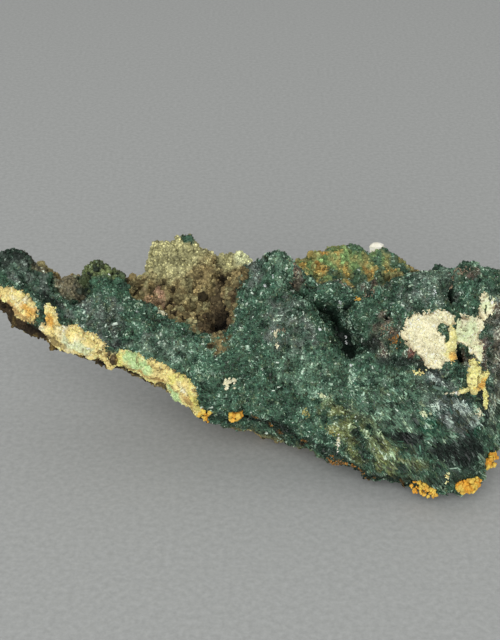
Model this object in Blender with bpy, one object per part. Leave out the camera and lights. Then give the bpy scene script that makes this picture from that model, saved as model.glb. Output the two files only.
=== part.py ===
"""A hand specimen of vandenbrandeite on its host rock.

The specimen lies as it was photographed: +X runs along it from the thin arm to the thick end, +Y runs from
its green front to its olive back, and +Z is up. The origin is on the surface it rests on, under its middle.
Its form is laid over eight lines that run along the rock, such as the ridge and the front foot. Each ring of
the mesh is a closed curve through those lines at one station, and knobs, pits and a rough relief are then
raised on it. Crusts and grains of other minerals are grown from the rock's own faces.
"""

import itertools

import bmesh
import bpy
import numpy as np

MM = 0.001

# The lines and bumps below are measured from a point of their own. This is where the origin lies in them: on
# the ground under the middle of the specimen's outline.
ORIGIN = (0.5, 3.15, 0.0)

# The rings of the mesh, and how many points of a ring lie between one line and the next.
STATIONS = 54
CAP_STATIONS = 5
FOOT_TO_FACE = 9
FACE_TO_RIDGE = 9
RIDGE_TO_VALLEY = 6
VALLEY_TO_CROWN = 7
CROWN_TO_BACK = 8
BACK_TO_HEEL = 7
HEEL_TO_BELLY = 8
BELLY_TO_FOOT = 8

# The ends of the rock, and how far each end rounds off, in millimetres.
LEFT_END = -31.0
RIGHT_END = 32.0
LEFT_ROUNDING = 2.2
RIGHT_ROUNDING = 5.0

# The lines along the rock, as (x, y, z) in millimetres from the arm's tip to the thick end.
FRONT_FOOT = [
    (-31, 2.6, 19.4), (-28, 1.0, 18.2), (-25, 0.0, 16.0), (-22, -1.0, 14.2), (-18, -1.8, 13.5),
    (-14, -2.3, 12.3), (-9.5, -3.0, 11.2), (-7.5, -4.2, 9.2), (-5.5, -5.2, 7.7), (-2, -5.5, 7.3),
    (0, -5.4, 7.7), (2, -5.6, 7.2), (6, -6.5, 5.6), (9.5, -7.6, 4.1), (13, -8.8, 2.4), (17, -10.2, 2.0),
    (21, -11.3, 2.0), (24, -10.6, 2.2), (25.8, -8.8, 3.0), (26.6, -7.8, 3.0), (27.4, -7.2, 3.6),
    (28.4, -5.0, 5.8), (29.4, -2.0, 8.0), (32, 2.8, 12.0),
]
FRONT_FACE = [
    (-31, 2.0, 20.4), (-25, 0.8, 20.4), (-18, -0.5, 17.6), (-12, -2.0, 15.0), (-5, -3.2, 12.8),
    (2, -2.6, 14.4), (9, -3.9, 13.0), (17, -5.0, 12.4), (24, -5.4, 13.0), (28, -1.6, 14.4),
    (32, 2.0, 15.0),
]
RIDGE = [
    (-31, 4.0, 20.2), (-28, 4.0, 22.2), (-26, 4.2, 23.3), (-24.4, 4.0, 22.4), (-22.6, 3.4, 20.4),
    (-20.6, 3.0, 20.0), (-19.3, 3.0, 20.5), (-18, 3.4, 21.6), (-16.4, 3.6, 22.2), (-14.6, 3.4, 21.8),
    (-13.6, 2.6, 19.8), (-12.8, 1.5, 18.3), (-10.5, 1.2, 18.0), (-8, 0.6, 17.3), (-5, 0.2, 16.4),
    (-3.4, 0.6, 16.9), (-2.4, 1.6, 19.2), (-1.2, 2.8, 21.6), (0.5, 3.6, 22.6), (2.8, 4.2, 23.4),
    (4.5, 3.8, 22.6), (6, 3.0, 21.4), (8, 2.6, 20.8), (11, 2.4, 20.3), (15, 2.6, 20.1),
    (17.2, 3.0, 20.3), (18.6, 3.2, 21.3), (21, 3.5, 21.7), (23, 3.6, 21.8), (25.5, 3.6, 21.4),
    (28, 3.4, 21.8), (30, 3.6, 20.4), (32, 4.0, 17.2),
]
VALLEY = [
    (-31, 6.0, 20.0), (-26, 6.4, 21.6), (-21, 5.8, 19.4), (-16, 6.5, 19.0), (-12, 6.3, 16.4),
    (-8, 6.4, 15.6), (-4, 6.5, 15.6), (0, 8.0, 18.2), (3, 8.2, 19.0), (8, 7.5, 18.0), (14, 7.5, 17.6),
    (20, 8.0, 18.6), (26, 8.5, 18.6), (32, 6.0, 16.6),
]
CROWN = [
    (-31, 6.5, 19.5), (-26, 8.6, 20.0), (-21, 8.6, 18.0), (-16, 9.8, 16.6), (-13.4, 11.7, 16.6),
    (-12.2, 14.4, 17.8), (-10.5, 15.4, 19.3), (-8.4, 15.6, 20.0), (-6.6, 15.4, 20.3),
    (-5.6, 15.0, 19.8), (-5, 14.8, 18.6),
    (-3, 14.2, 17.6), (-1, 13.8, 17.9), (1, 13.4, 17.2), (4, 13.4, 17.0), (6, 14.0, 17.8),
    (9, 14.4, 18.4), (12, 14.4, 18.8), (16.3, 14.0, 19.2), (17.7, 13.7, 18.4), (18.9, 13.3, 17.1),
    (20.5, 13.0, 16.2), (25, 12.5, 16.2), (29, 10.0, 16.0), (32, 6.5, 15.5),
]
BACK = [
    (-31, 7.0, 18.5), (-26, 9.2, 17.0), (-20, 10.0, 14.5), (-14, 13.6, 12.8), (-9, 17.6, 12.4),
    (-3, 17.2, 11.0), (4, 16.4, 11.5), (11, 17.2, 12.0), (18, 16.0, 10.5), (25, 14.0, 10.0),
    (29, 10.5, 10.5), (32, 6.5, 13.0),
]
HEEL = [
    (-31, 6.0, 17.8), (-26, 7.0, 15.2), (-20, 8.0, 12.0), (-14, 11.0, 8.5), (-9, 14.4, 5.5),
    (-4, 15.0, 2.8), (2, 14.2, 0.6), (10, 14.2, 0.2), (18, 13.0, 0.2), (25, 10.5, 1.6), (29, 8.5, 5.5),
    (32, 6.0, 11.0),
]
BELLY = [
    (-31, 4.5, 17.8), (-26, 3.6, 15.2), (-20, 3.5, 11.6), (-14, 4.5, 8.0), (-9, 5.0, 5.0),
    (-5, 5.0, 2.4), (0, 4.0, 0.0), (5, 3.0, -0.9), (12, 2.0, -1.0), (20, 0.5, -0.9), (24.4, 1.0, -0.2),
    (27, 1.5, 3.6), (29, 2.5, 7.0), (32, 4.0, 11.5),
]
LINES = [FRONT_FOOT, FRONT_FACE, RIDGE, VALLEY, CROWN, BACK, HEEL, BELLY]
STEPS = [
    FOOT_TO_FACE, FACE_TO_RIDGE, RIDGE_TO_VALLEY, VALLEY_TO_CROWN,
    CROWN_TO_BACK, BACK_TO_HEEL, HEEL_TO_BELLY, BELLY_TO_FOOT,
]

# Places round a ring, counted in lines from the front foot.
FOOT, FACE, TOP, REAR = 0, 1, 2, 4

# Knobs and pits as (x, y, z), the radius of each and how far it rises or sinks, in millimetres.
KNOBS = [
    ((-26.2, 4.2, 23.4), 2.8, 1.1), ((-23.6, 5.0, 22.4), 2.4, 0.6), ((-28.6, 5.2, 21.6), 2.7, 0.9),
    ((-21.6, 3.8, 21.0), 1.8, 0.7), ((-20.0, 4.6, 20.6), 1.8, 0.7), ((-17.4, 4.2, 22.2), 2.5, 0.7),
    ((-15.0, 4.0, 22.0), 2.2, 0.6), ((-11.4, 14.6, 19.0), 3.0, 0.9), ((-7.2, 15.6, 20.6), 2.7, 1.0),
    ((-9.6, 12.0, 18.6), 3.3, 0.8), ((-4.8, 11.6, 17.2), 3.0, 0.8), ((-1.0, 13.8, 18.6), 2.2, 0.9),
    ((2.6, 4.2, 23.8), 2.2, 0.8), ((-0.4, 3.6, 22.4), 2.7, 0.7), ((7.6, 13.6, 19.2), 3.6, 0.9),
    ((11.6, 13.8, 19.6), 3.9, 0.9), ((16.4, 13.4, 18.8), 3.0, 0.7), ((19.6, 4.0, 22.2), 3.9, 0.8),
    ((25.4, 4.4, 22.6), 4.2, 0.4), ((22.0, -8.6, 4.6), 5.1, 0.7), ((14.6, -7.6, 6.0), 4.8, 0.6),
    ((3.0, -3.4, 12.6), 7.5, 0.7), ((-2.0, 17.0, 12.0), 5.4, 0.9), ((8.0, 17.0, 13.6), 6.0, 1.0),
    ((19.0, 15.0, 12.6), 5.4, 0.9), ((26.6, 10.0, 13.4), 4.8, 0.8), ((13.0, 16.4, 6.0), 5.4, 0.9),
]
PITS = [
    ((-19.6, 2.6, 20.2), 2.1, 1.5), ((-18.4, 2.2, 19.4), 2.0, 1.3), ((-3.3, 0.8, 16.8), 2.4, 1.3),
    ((5.2, 2.6, 20.6), 2.2, 1.8), ((8.4, 1.6, 19.0), 2.5, 2.2), ((9.6, 0.8, 17.6), 2.8, 3.0),
    ((11.2, -0.6, 15.4), 2.7, 2.8), ((12.8, 2.0, 19.6), 1.7, 1.1), ((22.2, 2.4, 20.0), 2.0, 1.4),
    ((22.6, 1.4, 18.4), 1.8, 1.2), ((23.4, -1.8, 14.4), 2.0, 1.2), ((27.4, -2.2, 9.4), 3.6, 1.2),
    ((-6.0, 7.2, 15.6), 3.0, 0.9), ((-10.4, 7.0, 16.2), 2.7, 0.8), ((-12.6, 15.0, 13.0), 3.6, 1.0),
    ((3.0, 16.6, 8.0), 3.9, 1.2), ((22.4, 13.0, 15.0), 3.3, 1.0), ((-20.0, 9.6, 16.0), 3.0, 0.9),
]

# The relief: the size of its waves and how high they are, in millimetres. The rings are drawn in by the
# inset to make room for it, and the softening is how much of a ring its direction is blurred over.
BROAD_WAVE = 6.5
BROAD_HEIGHT = 0.55
ROUGH_WAVE = 2.6
ROUGH_HEIGHT = 0.85
LUMP_SIZE = 2.4
LUMP_HEIGHT = 1.1
INSET = 0.5
SOFTENING = 0.03
LINE_REACH = 0.6

# How lumpy the green front is against the back, how much of the rough wave even a smooth place keeps, and
# where the arm begins whose top is lumpy too.
FRONT_CALM = 0.85
LEAST_ROUGH = 0.45
ARM_START = -11.0
ARM_BLEND = 4.0

# The noise: its seed, how many slopes it draws on, what brings it to about -1 to 1, and how far a lump's
# seed strays from the middle of its cell.
NOISE_SEED = 7
TABLE = 256
NOISE_GAIN = 1.6
STRAY = 0.4
LUMP_MEAN = 0.75

# The gap that keeps a crust clear of the rock and how thick its rim is, then how deep its seat in the rock
# is sunk, how steep the seat's sides are and how far they stand outside the crust.
GAP = 0.3
RIM = 0.25
SEAT = 0.6
SEAT_SLOPE = 1.2
SEAT_MARGIN = 0.6

# Crusts and grains as (x, place round the ring, half length in mm, half width in lines, rise in mm).
CRUSTS = {
    "yellow_crust_tip": (-26.6, FOOT + 0.56, 3.3, 0.46, 0.8),
    "yellow_crust_arm": (-19.4, FOOT + 0.26, 3.5, 0.46, 0.8),
    "yellow_crust_edge": (-9.9, FOOT + 0.16, 4.0, 0.40, 0.9),
    "cream_crust": (19.3, FACE + 0.38, 2.7, 0.23, 0.6),
    "cream_crust_side": (24.6, FACE + 0.46, 2.3, 0.15, 0.5),
    "yellow_crust_right": (24.2, FACE - 0.04, 1.2, 0.14, 0.6),
}
CRUST_RINGS = 4
CRUST_SPOKES = 15
GRAINS = {
    "ochre_grain_1": (-4.9, FOOT + 0.04, 0.8, 0.09, 0.7),
    "ochre_grain_2": (-1.5, FOOT + 0.06, 0.8, 0.09, 0.8),
    "ochre_grain_3": (19.0, FOOT + 0.02, 1.5, 0.09, 0.6),
    "ochre_grain_4": (23.4, FOOT + 0.12, 1.2, 0.11, 0.9),
    "ochre_grain_5": (26.5, FOOT + 0.04, 0.8, 0.10, 0.8),
    "cream_grain": (-2.2, FOOT + 0.72, 0.8, 0.09, 0.6),
    "white_crystal": (14.7, REAR - 0.15, 0.8, 0.10, 1.0),
}
GRAIN_RINGS = 2
GRAIN_SPOKES = 8
WAVY_OUTLINE = 0.2
CRUST_WAVE = 1.5
CRUST_LUMPS = 0.35
DOMING = 0.96

# The colour, roughness and metallic value of each material.
FINISHES = {
    "green_rock": ((0.045, 0.095, 0.075), 0.45, 0.0),
    "yellow_crust": ((0.74, 0.62, 0.30), 0.85, 0.0),
    "cream_crust": ((0.80, 0.73, 0.52), 0.88, 0.0),
    "ochre": ((0.80, 0.43, 0.05), 0.75, 0.0),
    "white_crystal": ((0.82, 0.80, 0.72), 0.30, 0.0),
}
FINISH_OF = {name: "yellow_crust" for name in CRUSTS} | {name: "ochre" for name in GRAINS}
FINISH_OF |= {"cream_crust": "cream_crust", "cream_crust_side": "cream_crust"}
FINISH_OF |= {"cream_grain": "cream_crust", "white_crystal": "white_crystal"}

RANDOM = np.random.default_rng(NOISE_SEED)
ORDER = RANDOM.permutation(TABLE)
SLOPES = RANDOM.normal(size=(TABLE, 3))
SLOPES /= np.linalg.norm(SLOPES, axis=1, keepdims=True)


def clear_scene():
    """Removes what the startup scene holds."""
    for obj in list(bpy.data.objects):
        bpy.data.objects.remove(obj, do_unlink=True)


def hashed(corner):
    """A number from 0 to TABLE - 1 for each lattice corner."""
    x, y, z = np.moveaxis(corner, -1, 0)
    return ORDER[(z + ORDER[(y + ORDER[x % TABLE]) % TABLE]) % TABLE]


def soft_noise(points, wave):
    """Gradient noise, about -1 to 1: each lattice corner has a slope, and a point blends its cell's eight."""
    scaled = points / wave
    corner = np.floor(scaled).astype(int)
    part = scaled - corner
    blend = part**3 * (part * (part * 6 - 15) + 10)
    total = np.zeros(points.shape[:-1])
    for step in itertools.product((0, 1), repeat=3):
        weight = np.where(step, blend, 1 - blend).prod(axis=-1)
        total += weight * (SLOPES[hashed(corner + step)] * (part - step)).sum(axis=-1)
    return total * NOISE_GAIN


def lumps(points, size):
    """Rounded lumps from 0 to 1: one seed is strewn in each cell, and height falls with its distance."""
    scaled = points / size
    corner = np.floor(scaled).astype(int)
    nearest = np.full(points.shape[:-1], 9.0)
    for step in itertools.product((-1, 0, 1), repeat=3):
        cell = corner + step
        seed = cell + 0.5 + STRAY * SLOPES[hashed(cell)]
        nearest = np.minimum(nearest, ((scaled - seed) ** 2).sum(axis=-1))
    return np.clip(1 - nearest, 0, 1)


def on_line(line, x):
    """The line's y and z at each x: straight between its points, read at three near places and averaged."""
    along, y, z = np.array(line, float).T
    reads = [
        np.stack([np.interp(x + step, along, y), np.interp(x + step, along, z)], axis=-1)
        for step in (-LINE_REACH, 0, LINE_REACH)
    ]
    return sum(reads) / len(reads)


def ring_stations():
    """Where along X the rings stand: evenly between the rounded ends, and closer together over them."""
    turn = np.linspace(0, np.pi / 2, CAP_STATIONS + 1)[1:]
    left = LEFT_END + LEFT_ROUNDING * (1 - np.cos(turn))
    right = RIGHT_END - RIGHT_ROUNDING * (1 - np.cos(turn))[::-1]
    return np.concatenate([left[:-1], np.linspace(left[-1], right[0], STATIONS), right[1:]])


def ring_places():
    """The place of each point round a ring, counted in lines from the front foot."""
    return np.concatenate([line + np.arange(steps) / steps for line, steps in enumerate(STEPS)])


def through_lines(corners, places):
    """A smooth closed curve through the eight lines of each ring: no tangent is longer than its span."""
    slope = (np.roll(corners, -1, axis=1) - np.roll(corners, 1, axis=1)) / 2
    first = places.astype(int)
    after = (first + 1) % len(LINES)
    start, end = corners[:, first], corners[:, after]
    span = np.linalg.norm(end - start, axis=-1, keepdims=True)
    leave, arrive = (
        slope[:, at] * np.minimum(1, span / np.linalg.norm(slope[:, at], axis=-1, keepdims=True))
        for at in (first, after)
    )
    t = (places - first)[None, :, None]
    bend = 3 * (end - start) - 2 * leave - arrive
    twist = 2 * (start - end) + leave + arrive
    return start + t * leave + t**2 * bend + t**3 * twist


def rounded_ends(x):
    """How much of its full size a ring keeps: a quarter circle's rise over the rounding at either end."""
    left = np.clip((x - LEFT_END) / LEFT_ROUNDING, 0, 1)
    right = np.clip((RIGHT_END - x) / RIGHT_ROUNDING, 0, 1)
    return np.sqrt(1 - (1 - left) ** 2) * np.sqrt(1 - (1 - right) ** 2)


def bare_form(x, places):
    """The rock with no relief, as a grid of points: a ring through the lines at each station."""
    corners = np.stack([on_line(line, x) for line in LINES], axis=1)
    ring = through_lines(corners, places)
    middle = ring.mean(axis=1, keepdims=True)
    spoke = ring - middle
    spoke *= 1 - INSET / np.linalg.norm(spoke, axis=-1, keepdims=True)
    ring = middle + spoke * rounded_ends(x)[:, None, None]
    return np.concatenate([np.repeat(x[:, None, None], len(places), axis=1), ring], axis=-1)


def outward(grid):
    """The outward normal at each point of the grid, blurred round its ring so that sharp corners fan out."""
    along = np.gradient(grid, grid[:, 0, 0], axis=0)
    across = np.roll(grid, -1, axis=1) - np.roll(grid, 1, axis=1)
    normal = np.cross(along, across)
    normal /= np.linalg.norm(normal, axis=-1, keepdims=True)
    waves = np.fft.rfft(normal, axis=1)
    softened = np.exp(-2 * (np.pi * SOFTENING * np.arange(waves.shape[1])) ** 2)
    normal = np.fft.irfft(waves * softened[:, None], n=normal.shape[1], axis=1)
    return normal / np.linalg.norm(normal, axis=-1, keepdims=True)


def bumps(grid):
    """The knobs' height less the pits' depth: bells, each centred where the surface comes nearest to it."""
    height = np.zeros(grid.shape[:-1])
    for sign, group in ((1, KNOBS), (-1, PITS)):
        for near, reach, size in group:
            nearest = ((grid - near) ** 2).sum(axis=-1).argmin()
            centre = grid.reshape(-1, 3)[nearest]
            far = ((grid - centre) ** 2).sum(axis=-1) / reach**2
            height += sign * size * np.clip(1 - far, 0, 1) ** 2
    return height


def around(places, place):
    """How far each place is from the given one, counted in lines the shorter way round the ring."""
    return (places - place + len(LINES) / 2) % len(LINES) - len(LINES) / 2


def knobbliness(x, places):
    """How lumpy the surface is, from 0 on the flat green front to 1 on the back and on top of the arm."""
    on_front = np.exp(-((around(places, FACE - 0.1) / 1.1) ** 2))
    on_top = np.exp(-((around(places, TOP + 0.3) / 0.9) ** 2))
    on_arm = np.clip((ARM_START - x) / ARM_BLEND, 0, 1)
    return np.clip(1 - FRONT_CALM * on_front[None, :] + on_top[None, :] * on_arm[:, None], 0, 1)


def relief(grid, x, places):
    """Height over the bare form: broad waves and rough ones, and lumps where the surface is knobbly."""
    lumpy = knobbliness(x, places)
    height = BROAD_HEIGHT * soft_noise(grid, BROAD_WAVE)
    height += ROUGH_HEIGHT * soft_noise(grid, ROUGH_WAVE) * (LEAST_ROUGH + (1 - LEAST_ROUGH) * lumpy)
    height += LUMP_HEIGHT * (lumps(grid, LUMP_SIZE) - LUMP_MEAN) * lumpy
    return height + bumps(grid)


def inside_outline(outline, x, places):
    """How far inside a crust's outline each point is: 1 at its middle, 0 on its edge, less outside."""
    middle, place, half_length, half_width, _ = outline
    across = around(places, place)[None, :] / half_width
    return 1 - ((x[:, None] - middle) / half_length) ** 2 - across**2


def rock_points():
    """The grid of the rock's points, flat where it rests, with its normals, stations and places."""
    x, places = ring_stations(), ring_places()
    bare = bare_form(x, places)
    normals = outward(bare)
    height = relief(bare, x, places)
    for outline in (CRUSTS | GRAINS).values():
        height -= SEAT * np.clip(SEAT_SLOPE * inside_outline(outline, x, places) + SEAT_MARGIN, 0, 1)
    height *= rounded_ends(x)[:, None]
    points = bare + normals * height[..., None]
    points[..., 2] = np.maximum(points[..., 2], 0)
    return points, normals, x, places


def grow_rock(grid):
    """The rock from its rings, joined by faces, with each end closed on a point amid its last ring."""
    mesh = bmesh.new()
    rings = [[mesh.verts.new(point) for point in ring] for ring in (grid - ORIGIN) * MM]
    for near, far in itertools.pairwise(rings):
        for i in range(len(near)):
            mesh.faces.new((near[i], near[i - 1], far[i - 1], far[i]))
    for ring, turn, tip_x in ((rings[0], 1, LEFT_END), (rings[-1], -1, RIGHT_END)):
        middle = np.mean([v.co for v in ring], axis=0)
        tip = mesh.verts.new(((tip_x - ORIGIN[0]) * MM, middle[1], middle[2]))
        for i in range(len(ring)):
            mesh.faces.new((ring[i - 1], ring[i], tip)[::turn])
    bmesh.ops.recalc_face_normals(mesh, faces=mesh.faces[:])
    add_object("rock", mesh, "green_rock")


def finish(name):
    """The material of that name, made the first time that it is asked for."""
    if name in bpy.data.materials:
        return bpy.data.materials[name]
    colour, roughness, metallic = FINISHES[name]
    material = bpy.data.materials.new(name)
    material.use_nodes = True
    shader = material.node_tree.nodes["Principled BSDF"]
    shader.inputs["Base Color"].default_value = (*colour, 1)
    shader.inputs["Roughness"].default_value = roughness
    shader.inputs["Metallic"].default_value = metallic
    return material


def add_object(name, mesh, finish_name):
    """A scene object from a bmesh, shaded smooth and wearing one material."""
    data = bpy.data.meshes.new(name)
    mesh.to_mesh(data)
    mesh.free()
    data.shade_smooth()
    data.materials.append(finish(finish_name))
    bpy.context.scene.collection.objects.link(bpy.data.objects.new(name, data))


def read_grid(values, x, places, at_x, at_place):
    """The grid's values at stations and places between its points, blended from the four around each."""
    i = np.interp(at_x, x, np.arange(len(x)))
    ring = np.append(places, len(LINES))
    k = np.interp(at_place % len(LINES), ring, np.arange(len(ring)))
    near_i, near_k = np.minimum(i.astype(int), len(x) - 2), k.astype(int)
    part_i, part_k = (i - near_i)[..., None], (k - near_k)[..., None]
    far_k = (near_k + 1) % len(places)
    near_k = near_k % len(places)
    near = values[near_i, near_k] * (1 - part_k) + values[near_i, far_k] * part_k
    far = values[near_i + 1, near_k] * (1 - part_k) + values[near_i + 1, far_k] * part_k
    return near * (1 - part_i) + far * part_i


def crust_layers(outline, rings, spokes, surface):
    """A crust's underside and top as rings of points and a middle: a gap above the rock, and domed."""
    grid, normals, x, places = surface
    middle, place, half_length, half_width, rise = outline
    turn = np.arange(spokes) / spokes * 2 * np.pi
    wavy = 1 + WAVY_OUTLINE * (np.sin(2 * turn + middle) + np.sin(3 * turn - 2 * middle)) / 2
    out = (np.arange(1, rings + 1) / rings)[:, None]
    at_x = np.append(middle + half_length * out * wavy * np.cos(turn), middle)
    at_place = np.append(place + half_width * out * wavy * np.sin(turn), place)
    foot = read_grid(grid, x, places, at_x, at_place)
    normal = read_grid(normals, x, places, at_x, at_place)
    normal /= np.linalg.norm(normal, axis=1, keepdims=True)
    dome = np.append(np.repeat(np.sqrt(1 - DOMING * out[:, 0] ** 2), spokes), 1.0)
    dome *= 1 + CRUST_LUMPS * soft_noise(foot, CRUST_WAVE)
    low = foot + normal * GAP
    return low, low + normal * (RIM + (rise - RIM) * dome)[:, None]


def grow_crust(name, outline, rings, spokes, surface):
    """A crust from its two layers: faces from ring to ring, a fan round each middle and a wall at the rim."""
    mesh = bmesh.new()
    low, high = (
        [mesh.verts.new((point - ORIGIN) * MM) for point in layer]
        for layer in crust_layers(outline, rings, spokes, surface)
    )
    rim = (rings - 1) * spokes
    for k in range(spokes):
        after = (k + 1) % spokes
        for layer in (low, high):
            mesh.faces.new((layer[-1], layer[k], layer[after]))
            for ring in range(0, rim, spokes):
                square = (ring + k, ring + spokes + k, ring + spokes + after, ring + after)
                mesh.faces.new([layer[at] for at in square])
        mesh.faces.new((low[rim + k], high[rim + k], high[rim + after], low[rim + after]))
    bmesh.ops.recalc_face_normals(mesh, faces=mesh.faces[:])
    add_object(name, mesh, FINISH_OF[name])


def build():
    """The whole specimen: the rock cut flat where it rests, and each crust and grain on it."""
    clear_scene()
    surface = rock_points()
    grow_rock(surface[0])
    for name, outline in CRUSTS.items():
        grow_crust(name, outline, CRUST_RINGS, CRUST_SPOKES, surface)
    for name, outline in GRAINS.items():
        grow_crust(name, outline, GRAIN_RINGS, GRAIN_SPOKES, surface)


build()
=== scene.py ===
"""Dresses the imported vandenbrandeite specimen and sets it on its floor, as the photograph shows it.

The rock is worked out again on a finer grid from the lines that its solid is made from. Then come the felt
of green crystals that covers it, the grains of its bare places, the crusts, the loose grains and the white
crystal, and last the floor, the light and the camera.
"""

import itertools
import math

import bpy
import numpy as np
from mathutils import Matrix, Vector


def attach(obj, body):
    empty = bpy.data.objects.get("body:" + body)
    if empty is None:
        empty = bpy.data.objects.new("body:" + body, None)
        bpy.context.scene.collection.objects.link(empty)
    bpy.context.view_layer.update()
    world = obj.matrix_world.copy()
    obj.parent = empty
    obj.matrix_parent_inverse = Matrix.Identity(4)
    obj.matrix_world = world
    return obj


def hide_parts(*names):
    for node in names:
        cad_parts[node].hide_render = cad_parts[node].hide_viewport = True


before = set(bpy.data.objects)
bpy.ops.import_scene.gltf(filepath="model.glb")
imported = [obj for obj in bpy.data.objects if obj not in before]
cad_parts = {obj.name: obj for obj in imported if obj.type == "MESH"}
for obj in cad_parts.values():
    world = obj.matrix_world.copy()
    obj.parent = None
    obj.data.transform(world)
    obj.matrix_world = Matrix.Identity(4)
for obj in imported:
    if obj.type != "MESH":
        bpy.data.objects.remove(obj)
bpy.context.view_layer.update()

# The rock.
# One piece of olive-brown host rock with dark green vandenbrandeite grown all through its front, its ridge
# and its arm. The mineral fills and coats the broken rock, so there is no joint between the two.

MM = 0.001
ORIGIN = np.array((0.5, 3.15, 0.0))
LEFT_END, RIGHT_END = -31.0, 32.0
LEFT_ROUNDING, RIGHT_ROUNDING = 2.2, 5.0

# The lines that run along the rock, as (x, y, z) in millimetres, in their order round it.
FRONT_FOOT = [
    (-31, 2.6, 19.4), (-28, 1.0, 18.2), (-25, 0.0, 16.0), (-22, -1.0, 14.2), (-18, -1.8, 13.5),
    (-14, -2.3, 12.3), (-9.5, -3.0, 11.2), (-7.5, -4.2, 9.2), (-5.5, -5.2, 7.7), (-2, -5.5, 7.3),
    (0, -5.4, 7.7), (2, -5.6, 7.2), (6, -6.5, 5.6), (9.5, -7.6, 4.1), (13, -8.8, 2.4), (17, -10.2, 2.0),
    (21, -11.3, 2.0), (24, -10.6, 2.2), (25.8, -8.8, 3.0), (26.6, -7.8, 3.0), (27.4, -7.2, 3.6),
    (28.4, -5.0, 5.8), (29.4, -2.0, 8.0), (32, 2.8, 12.0),
]
FRONT_FACE = [
    (-31, 2.0, 20.4), (-25, 0.8, 20.4), (-18, -0.5, 17.6), (-12, -2.0, 15.0), (-5, -3.2, 12.8),
    (2, -2.6, 14.4), (9, -3.9, 13.0), (17, -5.0, 12.4), (24, -5.4, 13.0), (28, -1.6, 14.4),
    (32, 2.0, 15.0),
]
RIDGE = [
    (-31, 4.0, 20.2), (-28, 4.0, 22.2), (-26, 4.2, 23.3), (-24.4, 4.0, 22.4), (-22.6, 3.4, 20.4),
    (-20.6, 3.0, 20.0), (-19.3, 3.0, 20.5), (-18, 3.4, 21.6), (-16.4, 3.6, 22.2), (-14.6, 3.4, 21.8),
    (-13.6, 2.6, 19.8), (-12.8, 1.5, 18.3), (-10.5, 1.2, 18.0), (-8, 0.6, 17.3), (-5, 0.2, 16.4),
    (-3.4, 0.6, 16.9), (-2.4, 1.6, 19.2), (-1.2, 2.8, 21.6), (0.5, 3.6, 22.6), (2.8, 4.2, 23.4),
    (4.5, 3.8, 22.6), (6, 3.0, 21.4), (8, 2.6, 20.8), (11, 2.4, 20.3), (15, 2.6, 20.1),
    (17.2, 3.0, 20.3), (18.6, 3.2, 21.3), (21, 3.5, 21.7), (23, 3.6, 21.8), (25.5, 3.6, 21.4),
    (28, 3.4, 21.8), (30, 3.6, 20.4), (32, 4.0, 17.2),
]
VALLEY = [
    (-31, 6.0, 20.0), (-26, 6.4, 21.6), (-21, 5.8, 19.4), (-16, 6.5, 19.0), (-12, 6.3, 16.4),
    (-8, 6.4, 15.6), (-4, 6.5, 15.6), (0, 8.0, 18.2), (3, 8.2, 19.0), (8, 7.5, 18.0), (14, 7.5, 17.6),
    (20, 8.0, 18.6), (26, 8.5, 18.6), (32, 6.0, 16.6),
]
CROWN = [
    (-31, 6.5, 19.5), (-26, 8.6, 20.0), (-21, 8.6, 18.0), (-16, 9.8, 16.6), (-13.4, 11.7, 16.6),
    (-12.2, 14.4, 17.8), (-10.5, 15.4, 19.3), (-8.4, 15.6, 20.0), (-6.6, 15.4, 20.3),
    (-5.6, 15.0, 19.8), (-5, 14.8, 18.6),
    (-3, 14.2, 17.6), (-1, 13.8, 17.9), (1, 13.4, 17.2), (4, 13.4, 17.0), (6, 14.0, 17.8),
    (9, 14.4, 18.4), (12, 14.4, 18.8), (16.3, 14.0, 19.2), (17.7, 13.7, 18.4), (18.9, 13.3, 17.1),
    (20.5, 13.0, 16.2), (25, 12.5, 16.2), (29, 10.0, 16.0), (32, 6.5, 15.5),
]
BACK = [
    (-31, 7.0, 18.5), (-26, 9.2, 17.0), (-20, 10.0, 14.5), (-14, 13.6, 12.8), (-9, 17.6, 12.4),
    (-3, 17.2, 11.0), (4, 16.4, 11.5), (11, 17.2, 12.0), (18, 16.0, 10.5), (25, 14.0, 10.0),
    (29, 10.5, 10.5), (32, 6.5, 13.0),
]
HEEL = [
    (-31, 6.0, 17.8), (-26, 7.0, 15.2), (-20, 8.0, 12.0), (-14, 11.0, 8.5), (-9, 14.4, 5.5),
    (-4, 15.0, 2.8), (2, 14.2, 0.6), (10, 14.2, 0.2), (18, 13.0, 0.2), (25, 10.5, 1.6), (29, 8.5, 5.5),
    (32, 6.0, 11.0),
]
BELLY = [
    (-31, 4.5, 17.8), (-26, 3.6, 15.2), (-20, 3.5, 11.6), (-14, 4.5, 8.0), (-9, 5.0, 5.0),
    (-5, 5.0, 2.4), (0, 4.0, 0.0), (5, 3.0, -0.9), (12, 2.0, -1.0), (20, 0.5, -0.9), (24.4, 1.0, -0.2),
    (27, 1.5, 3.6), (29, 2.5, 7.0), (32, 4.0, 11.5),
]
LINES = [FRONT_FOOT, FRONT_FACE, RIDGE, VALLEY, CROWN, BACK, HEEL, BELLY]

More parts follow.
